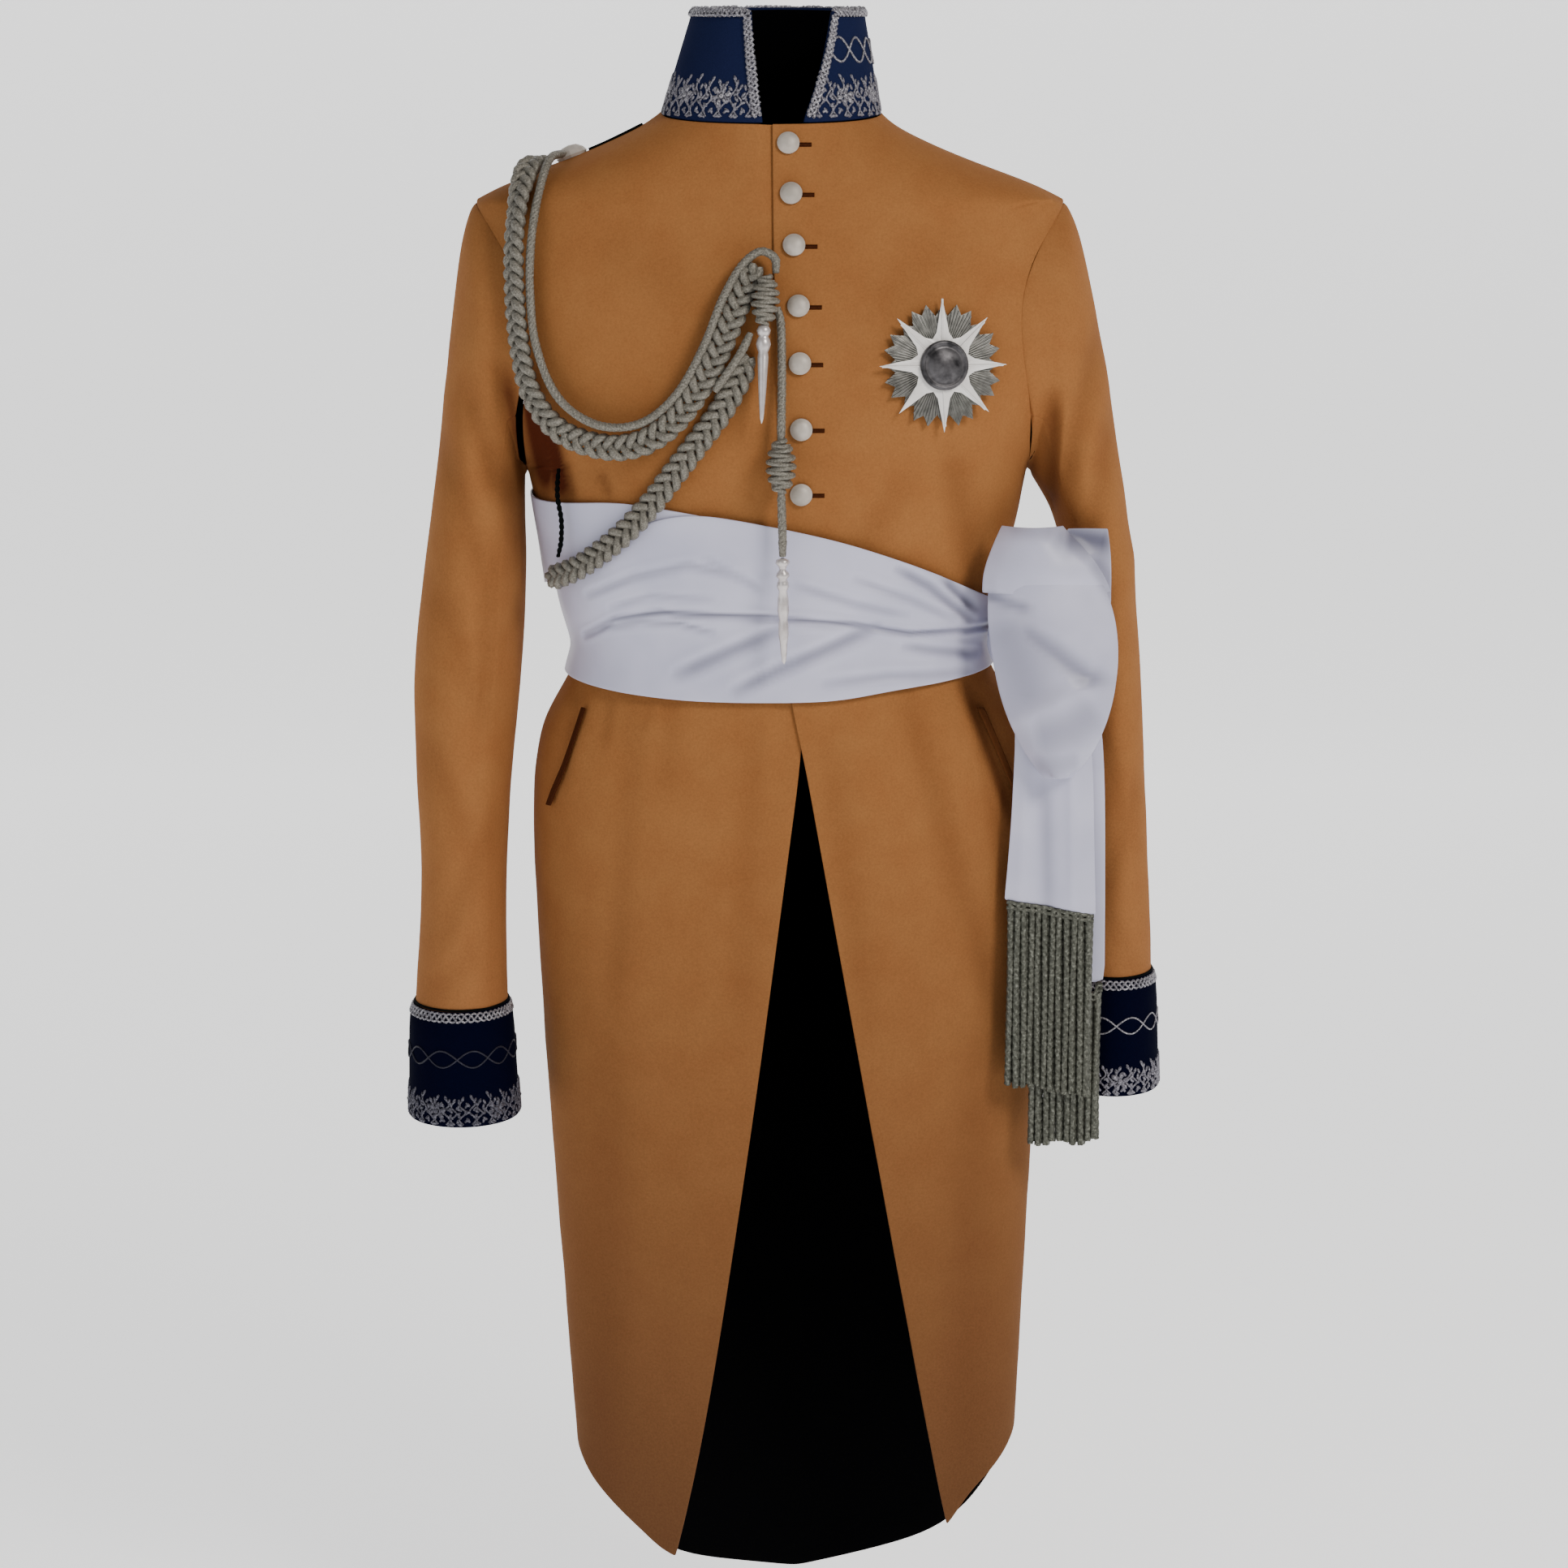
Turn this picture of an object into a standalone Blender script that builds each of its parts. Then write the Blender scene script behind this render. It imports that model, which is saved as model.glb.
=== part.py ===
"""Military dress coat with a satin sash, worn and hollow.

Every cloth piece is an open sheet whose points are worked out from the coat's own sizes, given its thickness
by Solidify. Lengths are in millimetres until MM turns them into metres. X runs to the wearer's left, Y to the
back and Z up. The origin is the middle of the neck line, where the coat hangs on the wearer's shoulders.
"""

import math
from collections import namedtuple

import bmesh
import bpy
from mathutils import Matrix, Vector

MM = 0.001
QUARTER = math.pi / 2

# Cloth and gaps
WOOL = 2.0
LINING = 1.0
SATIN = 1.4
COLLAR_WALL = 3.0
CUFF_WALL = 2.5
SEAM = 0.4
SLEEVE_SEAM = 1.2
LAP = 27.0
LAP_DROP = WOOL + 0.6

# Heights of the body
SHOULDER_Z = -59.0
ARMPIT_Z = -250.0
SKIRT_Z = -720.0
APEX_Z = -440.0

# Sections of the body, hem to neck: middle and half of the width, depth of front and back, squareness
Section = namedtuple("Section", "z middle half front back square")
BODY = (
    Section(-1140, 19, 163, 72, 62, 2.3),
    Section(-1000, 19, 166, 76, 70, 2.3),
    Section(-880, 17, 172, 82, 82, 2.3),
    Section(-720, 16, 181, 95, 98, 2.3),
    Section(-600, 13, 185, 104, 108, 2.3),
    Section(-489, 11, 186, 108, 112, 2.3),
    Section(-430, 9.5, 174, 104, 104, 2.3),
    Section(-405, 8.5, 158, 100, 93, 2.3),
    Section(-380, 8, 148, 97, 87, 2.3),
    Section(-335, 7, 158, 103, 88, 2.3),
    Section(-290, 6, 172, 109, 94, 2.35),
    Section(-250, 5, 180, 112, 99, 2.4),
    Section(-200, 4, 204, 113, 104, 2.4),
    Section(-150, 3, 214, 108, 106, 2.4),
    Section(-100, 1, 214, 98, 102, 2.4),
    Section(-59, 0, 209, 87, 92, 2.4),
    Section(-40, 0, 164, 82, 84, 2.3),
    Section(-19, 0, 111, 76, 70, 2.2),
    Section(0, 1, 79, 71, 54, 2.1),
    Section(12, 1.5, 74, 66, 46, 2.0),
)

# Hem height by angle round the body, 0 in front and 90 at the wearer's left side
Edge = namedtuple("Edge", "angle z")
HEM = (
    Edge(-180, -1119), Edge(-148, -1105), Edge(-120, -1050), Edge(-90, -990), Edge(-61, -1015),
    Edge(-45, -1035), Edge(-30, -1058), Edge(0, -1070), Edge(38, -1039), Edge(51, -1011),
    Edge(90, -975), Edge(115, -1030), Edge(140, -1083), Edge(180, -1119),
)

# Where the front edges lie: the lap's edge above the open skirt, and the two edges of the opening below
EdgeX = namedtuple("EdgeX", "z x")
LAP_EDGE = (EdgeX(-440, 23), EdgeX(-408, 15), EdgeX(-265, 8), EdgeX(-198, 6), EdgeX(-101, 3), EdgeX(-11, 2))
OPEN_RIGHT = (EdgeX(-1070, -75), EdgeX(-1058, -71), EdgeX(-890, -38), EdgeX(-440, 23))
OPEN_LEFT = (EdgeX(-1070, 133), EdgeX(-1039, 128), EdgeX(-725, 74), EdgeX(-440, 23))

# Neck line and armhole
NECK_MIDDLE_Z = 1.5
NECK_RISE = 8.5
ARMHOLE_FRONT = 75.0
ARMHOLE_BACK = 62.0

# Rows of a body panel: shares of the skirt, heights to the armpit, then the armhole and the shoulder
SKIRT_SHARES = (0.0, 0.12, 0.4, 1.0)
WAIST_ROWS = (-630, -545, -490, -455, -430, -405, -388, -372, -345, -315, -282)
ARMHOLE_ROWS = 9
SHOULDER_SHARES = (0.17, 0.35, 0.54, 0.72, 0.87, 1.0)
FRONT_COLUMNS = 10
BACK_COLUMNS = 8
EDGE_SHARE = 0.03
LINING_ROWS = 10
WAIST_SEAM_Z = -380.0
LAPPED_FROM_Z = -385.0
DROP_FROM_Z = -500.0
DROP_TO_Z = -446.0
LEFT_EDGE_ANGLE = 0.3
RIGHT_EDGE_ANGLE = -0.5
LAP_COLUMNS = (-24.0, -16.0, -8.0, 0.0)
LAPPED_COLUMNS = (-9.0, -1.5, 13.0, LAP)

# Sleeve rings: the armpit side and the outer side seen from the front, half depth, and how far it lies back
Ring = namedtuple("Ring", "in_x in_z out_x out_z depth back")
SLEEVE_LEFT = (
    Ring(185.8, -250.6, 213.5, -63, 71, 0),
    Ring(186.4, -252, 222, -84, 70, 0),
    Ring(187.5, -255, 233, -130, 67, 0),
    Ring(190, -260, 243, -180, 63.5, 0),
    Ring(196, -269, 253, -245, 61, 0),
    Ring(206, -285, 260.5, -292, 60, 0),
    Ring(215, -330, 266, -340, 57, 0),
    Ring(221, -395, 271, -400, 51.5, 0),
    Ring(225, -470, 275, -470, 47, -1),
    Ring(226, -540, 278.5, -540, 43, -4),
    Ring(223.8, -612, 282.2, -612, 38.8, -6),
    Ring(223, -640, 283, -640, 39.2, -6.8),
)
SLEEVE_RIGHT = (
    Ring(175.8, -250.6, 213.5, -63, 71, 0),
    Ring(176.2, -252, 220, -84, 70, 0),
    Ring(176.6, -255, 227, -130, 67, 0),
    Ring(176.9, -261, 233, -180, 64, 0),
    Ring(177, -273, 241, -245, 62, 0),
    Ring(176.4, -292, 247.5, -294, 61, 0),
    Ring(175.6, -335, 254.5, -342, 59, -1),
    Ring(180, -398, 261.5, -398, 53.5, -5),
    Ring(188.5, -470, 260, -470, 48.5, -11),
    Ring(193, -540, 254.5, -540, 44, -17),
    Ring(192.6, -625, 261, -625, 39.4, -26),
    Ring(191.8, -658, 262.6, -658, 40, -28.6),
)
CUFF_LEFT = (Ring(220, -620, 286, -620, 43, -6), Ring(218, -663, 287.5, -663, 44, -8),
             Ring(215, -706, 289, -706, 45, -10))
CUFF_RIGHT = (Ring(189, -639, 266, -639, 44, -27), Ring(187, -680, 266.5, -680, 45, -31),
              Ring(184, -722, 267, -722, 46, -35))
SLEEVE_HEAD = 1.6
UNDER_FROM = 125.0
UNDER_TO = 235.0
TOP_COLUMNS = 13
UNDER_COLUMNS = 6
CUFF_COLUMNS = 22

# Collar
COLLAR_TOP = Section(73, 6, 61, 62, 46, 2.0)
COLLAR_BACK_RISE = 3.0
COLLAR_SHARES = (0.0, 0.33, 0.67, 1.0)
COLLAR_COLUMNS = 24
LINING_DROP = 18.0
COLLAR_GAP = 0.9
COLLAR_LEFT_X = (23.4, 44.0)
COLLAR_RIGHT_X = (-4.5, -12.9)

# Sash: height of its edges and of its main crease by angle
Band = namedtuple("Band", "angle top crease bottom")
SASH_MAIN = (
    Band(-275, -345, -366, -390), Band(-240, -332, -362, -396), Band(-180, -322, -358, -398),
    Band(-120, -331, -366, -397), Band(-90, -335, -377, -398), Band(-70, -331, -366, -400),
    Band(-34, -286, -346, -405), Band(-16, -272, -343, -407), Band(6, -287, -343, -407),
    Band(27, -306, -355, -400), Band(64, -336, -371, -394), Band(84, -345, -376, -391),
)
SASH_UPPER = (
    Band(-268, -340, -350, -372), Band(-240, -300, -320, -345), Band(-180, -268, -300, -336),
    Band(-135, -265, -298, -334), Band(-118, -264, -296, -327), Band(-90, -266, -298, -331),
    Band(-72, -269, -297, -325), Band(-60, -269, -296, -325), Band(-34, -266, -290, -318),
    Band(-14, -274, -285, -300),
)
SASH_COLUMNS = 40
UPPER_COLUMNS = 26
SASH_UPPER_OUT = 3.0
SASH_MAIN_OUT = 5.2
FLARE = 13.0
FLARE_ANGLE = -96.0
FLARE_SPREAD = 15.0

# Soft folds of the main turn: ends by angle and height, width across and height of the ridge
Fold = namedtuple("Fold", "angle_a z_a angle_b z_b width rise")
SASH_FOLDS = (
    Fold(-75, -352, -5, -318, 9, 2.4),
    Fold(-60, -338, 40, -340, 8, 2.0),
    Fold(-30, -392, 20, -362, 9, 2.6),
    Fold(-5, -398, 55, -378, 8, 2.0),
    Fold(0, -318, 70, -360, 8, 2.4),
    Fold(-110, -350, -160, -338, 9, 2.2),
    Fold(-150, -382, -235, -374, 9, 2.4),
)

# Bow and tails: an outline row has a height, the two sides, and how far forward the cloth lies
Row = namedtuple("Row", "z left right forward")
BOW_FRONT = (
    Row(-296, 160, 214, 84), Row(-318, 154, 232, 89), Row(-345, 152, 243, 92), Row(-375, 156, 246, 94),
    Row(-405, 162, 243, 94), Row(-430, 172, 236, 92), Row(-450, 184, 226, 89), Row(-461, 192, 217, 86),
)
BOW_BACK_ROWS = (Row(-464, 195, 214, 82), Row(-457, 190, 219, 78.5), Row(-425, 174, 234, 77.5),
                 Row(-385, 166, 236, 77), Row(-352, 166, 200, 76.5))
BOW_BULGE = 15.0
BOW_CROWN = (
    Row(-330, 149, 240, 91.9), Row(-316, 149, 234, 90.4), Row(-300, 155, 222, 86.9), Row(-289, 160, 210, 83),
    Row(-284, 163, 206, 78.8), Row(-287, 163, 206, 76.5), Row(-300, 160, 214, 75.5),
    Row(-316, 158, 220, 75.5),
)
CROWN_BULGE = 16.5
BOW_SIDE = (Row(-287, 210, 238, 73.5), Row(-300, 206, 240, 74.8), Row(-320, 204, 241, 74.8),
            Row(-340, 206, 241, 74.5))
TAIL_FRONT = (
    Row(-383, 166, 184, 74.5), Row(-398, 170, 206, 74.3), Row(-424, 175, 228, 73.6), Row(-458, 174, 231, 73),
    Row(-505, 172, 232, 76), Row(-553, 168, 234, 77),
)
TAIL_BACK = (
    Row(-384, 188, 206, 70.4), Row(-405, 188, 232, 70.4), Row(-440, 189, 239, 66), Row(-520, 188, 241, 66),
    Row(-617, 186, 242, 65.5),
)
TAIL_SLOPE = -0.18
TAIL_WAVE = 1.8
TAIL_COLUMNS = 9
BOW_COLUMNS = 8

# Bullion fringe: number of strands, their width, and the narrow strip that carries them
FRINGE_FRONT = 11
FRINGE_BACK = 8
STRAND = 4.7
STRIP_HEIGHT = 7.0
STRIP_DEPTH = 4.0

# Buttons of the front: where their middles lie
Spot = namedtuple("Spot", "x z")
BUTTONS = (Spot(13, -20), Spot(15, -54), Spot(17, -89), Spot(20, -130), Spot(21, -169), Spot(22, -214),
           Spot(22, -259))
Profile = namedtuple("Profile", "radius height")
BUTTON_PROFILE = (Profile(0, 5.4), Profile(3.6, 4.9), Profile(6.4, 3.3), Profile(7.8, 1.2), Profile(7.2, 0.2),
                  Profile(0, 0.2))
KNOB_PROFILE = (Profile(0, 9.5), Profile(5.5, 8.6), Profile(9.6, 5.6), Profile(11.4, 2.4), Profile(10.4, 0.4),
                Profile(0, 0.4))
BUTTON_STEPS = 12

# Pocket welts: ends on the right side of the coat, mirrored about the body's middle for the left
WELT_TOP = Spot(-133, -417)
WELT_BOTTOM = Spot(-159, -489)
WELT_WIDTH = 3.4
WELT_THICK = 1.2
WELT_LIFT = 0.6
WELT_ROWS = 7

# Shoulder strap along the ridge of the right shoulder
STRAP_FROM = 90.0
STRAP_LIFT = 1.2
STRAP_TO = 128.0
STRAP_HALF = 6.0
STRAP_THICK = 2.0
KNOB_X = -140.0

# Aiguillette: routes of the plaits and cords
Point = namedtuple("Point", "x y z")
PLAIT_FRONT = (
    Point(-163, -20, -24), Point(-170, -42, -34), Point(-174.2, -62.3, -56), Point(-177, -76, -86),
    Point(-177, -81, -118), Point(-174, -86, -155), Point(-166, -91, -190), Point(-147, -98, -215),
    Point(-117, -108, -226), Point(-88, -118, -223), Point(-62, -123, -204), Point(-40, -122, -170),
    Point(-26, -117, -139), Point(-17, -112, -118), Point(-9, -109, -103),
)
PLAIT_UNDER = (
    Point(-15, -117, -164), Point(-21, -117.8, -179), Point(-34, -117.6, -202), Point(-51, -116.8, -225),
    Point(-67, -115, -246), Point(-84, -111, -268), Point(-106, -102, -291), Point(-131, -84, -311),
    Point(-147, -68, -320), Point(-157, -53, -325),
)
CORD_UPPER = (
    Point(-150, -17, -22), Point(-154, -46, -32), Point(-157.2, -67.1, -55.6), Point(-161, -81, -84),
    Point(-162, -86, -118), Point(-157, -93, -158), Point(-142, -102, -190), Point(-117, -112, -207),
    Point(-89, -120, -205), Point(-66, -124, -186), Point(-49, -122, -156), Point(-36, -117, -124),
    Point(-22, -110, -101), Point(-6, -107, -89), Point(6, -108, -94), Point(8, -111, -106),
)
CORD_LOWER = (Point(-13, -121, -148), Point(-19, -125.2, -160), Point(-29, -127, -175),
              Point(-37.4, -126.6, -186.6))
CORD_DROP_1 = (Point(5.5, -108.6, -131), Point(8, -110.9, -144), Point(8.5, -119, -180),
               Point(8, -126.5, -222))
CORD_DROP_2 = (Point(8, -128, -253), Point(8.5, -128, -270), Point(9, -128, -286), Point(9, -128, -300))
ARM_LOOP = (
    Point(-148.1, -75, -244.6), Point(-149, -79, -262), Point(-146.5, -78, -280), Point(-147, -75, -295),
    Point(-149.5, -71, -307),
)
PLAIT_HALF = 9.5
PLAIT_HALF_END = 7.2
PLAIT_THICK = 5.4
CORD_RADIUS = 3.1
ARM_LOOP_RADIUS = 2.0
PLAIT_SIDES = 8

# Turned pieces of the aiguillette, each along its own axis from the top down
KNOT_PROFILE = (Profile(0, 0), Profile(4.2, -1), Profile(7.3, -6), Profile(8.1, -13), Profile(7.8, -20),
                Profile(6.2, -26), Profile(3.8, -29.5), Profile(0, -30))
TAG_PROFILE = (Profile(0, 0), Profile(3.6, -0.6), Profile(5.4, -4), Profile(3.8, -8), Profile(4.8, -12),
               Profile(3.6, -20), Profile(2.9, -40), Profile(2.0, -58), Profile(1.8, -68), Profile(0, -69))
TAG_TWO_SCALE = 1.1
TURNED_STEPS = 10
KNOT_ONE = (Point(-1.7, -117, -111), Point(-3.7, -120, -141))
KNOT_TWO = (Point(8, -127, -222.5), Point(8, -128, -253))
TAG_ONE = (Point(-3.8, -120.4, -141.2), Point(-5.4, -132, -211))
TAG_TWO = (Point(9, -128, -300.6), Point(10, -125, -376))

# Breast star, a plain ornament of its own: rays in eight bundles with eight lancet arms between them
STAR_MIDDLE = Spot(119, -171)
STAR_ARMS = 8
STAR_DISC = 17.0
STAR_LIFT = 0.8
RAY_TIPS = (40.0, 34.0, 43.0, 37.0, 43.0, 34.0)
ARM_TIPS = (46.0, 23.0, 19.5, 23.0)

SASH_KNOT = Point(167.7, -54.5, -368)
SASH_KNOT_HALF = Point(14, 21.5, 22)

Finish = namedtuple("Finish", "colour roughness metallic")
FINISHES = {
    "wool": Finish((0.33, 0.14, 0.05), 0.9, 0.0),
    "black_lining": Finish((0.004, 0.004, 0.005), 0.7, 0.0),
    "navy_velvet": Finish((0.01, 0.012, 0.05), 0.85, 0.0),
    "satin": Finish((0.72, 0.72, 0.8), 0.35, 0.0),
    "silver_cord": Finish((0.35, 0.35, 0.32), 0.55, 0.3),
    "silver": Finish((0.75, 0.75, 0.73), 0.3, 0.9),
    "bullion": Finish((0.25, 0.26, 0.22), 0.5, 0.4),
    "button": Finish((0.6, 0.58, 0.54), 0.45, 0.5),
    "white_enamel": Finish((0.85, 0.84, 0.82), 0.3, 0.0),
    "oxidised": Finish((0.12, 0.12, 0.12), 0.5, 0.6),
    "welt": Finish((0.05, 0.015, 0.01), 0.8, 0.0),
}


def clear_scene():
    for item in list(bpy.data.objects):
        bpy.data.objects.remove(item, do_unlink=True)


def make_material(name):
    """The Principled material of one finish, made once."""
    if name in bpy.data.materials:
        return bpy.data.materials[name]
    finish = FINISHES[name]
    material = bpy.data.materials.new(name)
    material.use_nodes = True
    shader = material.node_tree.nodes["Principled BSDF"]
    shader.inputs["Base Color"].default_value = (*finish.colour, 1.0)
    shader.inputs["Roughness"].default_value = finish.roughness
    shader.inputs["Metallic"].default_value = finish.metallic
    return material


def add_object(name, mesh, finish, collection):
    item = bpy.data.objects.new(name, mesh)
    mesh.materials.append(make_material(finish))
    collection.objects.link(item)
    return item


def read_table(rows, at):
    """The values of a table at one place, on smooth curves that never pass beyond its rows."""
    first = [row[0] for row in rows]
    at = min(max(at, first[0]), first[-1])
    k = 0
    while k < len(rows) - 2 and at > first[k + 1]:
        k += 1

    def rise(i, column):
        return (rows[i + 1][column] - rows[i][column]) / (first[i + 1] - first[i])

    def slope(i, column):
        if i == 0:
            return rise(0, column)
        if i == len(rows) - 1:
            return rise(i - 1, column)
        before, after = rise(i - 1, column), rise(i, column)
        if before * after <= 0:
            return 0.0
        return 2 * before * after / (before + after)

    span = first[k + 1] - first[k]
    t = (at - first[k]) / span
    values = []
    for column in range(1, len(rows[0])):
        a, b = rows[k][column], rows[k + 1][column]
        bend_a, bend_b = slope(k, column) * span, slope(k + 1, column) * span
        values.append(
            a * (2 * t**3 - 3 * t**2 + 1) + bend_a * (t**3 - 2 * t**2 + t)
            + b * (3 * t**2 - 2 * t**3) + bend_b * (t**3 - t**2)
        )
    return values


def ease(value, low, high):
    """0 below low, 1 above high and smooth between."""
    t = min(max((value - low) / (high - low), 0.0), 1.0)
    return t * t * (3 - 2 * t)


def mix(a, b, t):
    return a + (b - a) * t


def signed_power(value, power):
    return math.copysign(abs(value) ** power, value)


def section_at(z):
    return Section(z, *read_table(BODY, z))


def section_point(section, angle, z):
    power = 2 / section.square
    depth = section.front if math.cos(angle) > 0 else section.back
    return Vector((
        section.middle + section.half * signed_power(math.sin(angle), power),
        -depth * signed_power(math.cos(angle), power),
        z,
    ))


def body_point(angle, z, out=0.0):
    """A point of the coat's outer surface, or one moved out from it."""
    point = section_point(section_at(z), angle, z)
    if out:
        point += out * surface_normal(lambda a, b: section_point(section_at(b), a, b), angle, z, (0.01, 1.0))
    return point


def surface_normal(surface, u, v, steps):
    """The normal of a surface, out from the body where u turns to the wearer's left and v rises."""
    along = surface(u + steps[0], v) - surface(u - steps[0], v)
    up = surface(u, v + steps[1]) - surface(u, v - steps[1])
    return along.cross(up).normalized()


def angle_at_x(section, x, back=False):
    share = min(abs(x - section.middle) / section.half, 1.0) ** (section.square / 2)
    angle = math.asin(share)
    if back:
        angle = math.pi - angle
    return math.copysign(angle, x - section.middle) if x != section.middle else angle


def angle_at_depth(section, y, side):
    """The angle, on one side of the body, where the surface lies at depth y, negative in front."""
    depth = section.front if y < 0 else section.back
    angle = math.acos(min(abs(y) / depth, 1.0) ** (section.square / 2))
    if y > 0:
        angle = math.pi - angle
    return side * angle


def front_point(x, z, out=0.0):
    return body_point(angle_at_x(section_at(z), x), z, out)


def hem_z(angle):
    degrees = math.degrees(angle)
    while degrees > 180:
        degrees -= 360
    while degrees < -180:
        degrees += 360
    return read_table(HEM, degrees)[0]


def neck_z(angle):
    return NECK_MIDDLE_Z - NECK_RISE * math.cos(angle)


def sheet_mesh(name, rows, wraps=False):
    """A mesh from rows of points: a Blender grid whose points are moved to their places."""
    count = len(rows[0])
    shape = bmesh.new()
    width = count + 1 if wraps else count
    bmesh.ops.create_grid(shape, x_segments=width - 1, y_segments=len(rows) - 1, size=1)
    shape.verts.ensure_lookup_table()
    for i, row in enumerate(rows):
        for j in range(width):
            shape.verts[i * width + j].co = row[j % count] * MM
    if wraps:
        bmesh.ops.remove_doubles(shape, verts=shape.verts, dist=0.00001)
    mesh = bpy.data.meshes.new(name)
    shape.to_mesh(mesh)
    shape.free()
    mesh.shade_smooth()
    return mesh


def add_sheet(name, rows, thickness, finish, collection, wraps=False, inward=True):
    """A cloth piece: rows run up and points run to the wearer's left, so that faces look outwards."""
    item = add_object(name, sheet_mesh(name, rows, wraps), finish, collection)
    wall = item.modifiers.new("Wall", "SOLIDIFY")
    wall.thickness = thickness * MM
    wall.offset = -1 if inward else 1
    return item


def panel_heights():
    """The rows of a body panel, each as a function of the angle round the body."""
    rows = []
    for share in SKIRT_SHARES:
        rows.append(lambda angle, share=share: mix(hem_z(angle), SKIRT_Z, share))
    for z in WAIST_ROWS:
        rows.append(lambda angle, z=z: z)
    for k in range(ARMHOLE_ROWS + 1):
        rows.append(lambda angle, z=armhole_z(math.pi - math.pi * k / ARMHOLE_ROWS): z)
    for share in SHOULDER_SHARES:
        rows.append(lambda angle, share=share: mix(SHOULDER_Z, neck_z(angle), share))
    return rows


def armhole_z(turn):
    """The height of the armhole at a turn, 0 at the shoulder and half a turn at the armpit."""
    return (SHOULDER_Z + ARMPIT_Z) / 2 + (SHOULDER_Z - ARMPIT_Z) / 2 * math.cos(turn)


def side_angle(z, side, back):
    """The outer edge of a body panel at one height: side seam, armhole or shoulder seam."""
    section = section_at(z)
    y = 0.0
    if ARMPIT_Z < z < SHOULDER_Z:
        share = (z - (SHOULDER_Z + ARMPIT_Z) / 2) / ((SHOULDER_Z - ARMPIT_Z) / 2)
        y = math.sin(math.acos(share)) * (ARMHOLE_BACK if back else ARMHOLE_FRONT)
    y = max(y, SEAM / 2)
    return angle_at_depth(section, y if back else -y, side)


def column_shares(count):
    """Shares of a panel's width, with a narrow column along each edge that keeps its seam square."""
    inner = [mix(EDGE_SHARE, 1 - EDGE_SHARE, j / (count - 2)) for j in range(count - 1)]
    return [0.0, *inner, 1.0]


def row_point(height, angle, out=0.0):
    return body_point(angle, height(angle), out)


def open_edge_x(z, table):
    return read_table(table, z)[0]


def build_front_left(collection):
    """The front that laps over: its edge runs down to the apex and then opens to the wearer's left."""
    rows = []
    for height in panel_heights():
        z = height(LEFT_EDGE_ANGLE if height(0) < SKIRT_Z else 0.0)
        table = LAP_EDGE if z > APEX_Z else OPEN_LEFT
        inner = angle_at_x(section_at(z), open_edge_x(z, table))
        outer = side_angle(height(QUARTER), 1, False)
        angles = [mix(inner, outer, share) for share in column_shares(FRONT_COLUMNS)]
        rows.append([row_point(height, angle) for angle in angles])
    add_sheet("front_left", rows, WOOL, "wool", collection)


def build_front_right(collection):
    """The front that lies under: its last columns drop below the other front and end past the buttons."""
    rows = []
    for height in panel_heights():
        z = height(RIGHT_EDGE_ANGLE if height(0) < SKIRT_Z else 0.0)
        table = LAP_EDGE if z > APEX_Z else OPEN_RIGHT
        edge = open_edge_x(z, table)
        lapped = ease(z, APEX_Z, LAPPED_FROM_Z)
        drop = ease(z, DROP_FROM_Z, DROP_TO_Z) * LAP_DROP
        section = section_at(z)
        steps = [mix(a, b, lapped) for a, b in zip(LAP_COLUMNS, LAPPED_COLUMNS)]
        outer = side_angle(height(-QUARTER), -1, False)
        first = angle_at_x(section, edge + steps[0])
        points = []
        for share in column_shares(FRONT_COLUMNS - 2):
            points.append(row_point(height, mix(outer, first, share)))
        for step in steps[1:]:
            points.append(row_point(height, angle_at_x(section, edge + step), -drop))
        rows.append(points)
    add_sheet("front_right", rows, WOOL, "wool", collection)


def build_back(side, collection):
    """One half of the back, in two panels that meet at a waist seam under the sash."""
    heights = panel_heights()
    waist = len(SKIRT_SHARES) + sum(z < WAIST_SEAM_Z for z in WAIST_ROWS)
    skirt = [*heights[:waist], lambda angle: WAIST_SEAM_Z - SEAM / 2]
    bodice = [lambda angle: WAIST_SEAM_Z + SEAM / 2, *heights[waist:]]
    ending = "left" if side > 0 else "right"
    build_back_panel(f"back_{ending}", side, bodice, collection)
    build_back_panel(f"back_skirt_{ending}", side, skirt, collection)


def build_back_panel(name, side, heights, collection):
    """A panel of the back, from the side seam to the centre back seam."""
    rows = []
    for height in heights:
        outer = side_angle(height(side * QUARTER), side, True)
        middle = section_at(height(math.pi)).middle
        centre = angle_at_x(section_at(height(math.pi)), middle + side * SEAM / 2, back=True)
        angles = [mix(outer, centre, share) for share in column_shares(BACK_COLUMNS)]
        if side < 0:
            angles.reverse()
        rows.append([row_point(height, angle) for angle in angles])
    add_sheet(name, rows, WOOL, "wool", collection)


def build_back_lining(collection):
    """The black lining inside the back of the skirt, from under the sash to the hem."""
    shares = column_shares(BACK_COLUMNS)
    half = [mix(QUARTER, math.pi, share) for share in shares[1:-1]]
    angles = half + [math.pi] + [2 * math.pi - angle for angle in reversed(half)]
    rows = []
    for height in panel_heights()[:LINING_ROWS]:
        rows.append([row_point(height, angle, -WOOL - SEAM) for angle in angles])
    add_sheet("back_lining", rows, LINING, "black_lining", collection)


def ring_point(ring, turn, side, grow=0.0):
    """A point of a sleeve's ring, 0 on its outer side, a quarter turn in front."""
    middle = Vector(((ring.in_x + ring.out_x) / 2, ring.back, (ring.in_z + ring.out_z) / 2))
    reach = Vector(((ring.out_x - ring.in_x) / 2, 0.0, (ring.out_z - ring.in_z) / 2))
    reach *= 1 + grow / reach.length
    point = middle + reach * math.cos(turn) + Vector((0.0, -(ring.depth + grow) * math.sin(turn), 0.0))
    return Vector((side * point.x, point.y, point.z))


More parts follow.
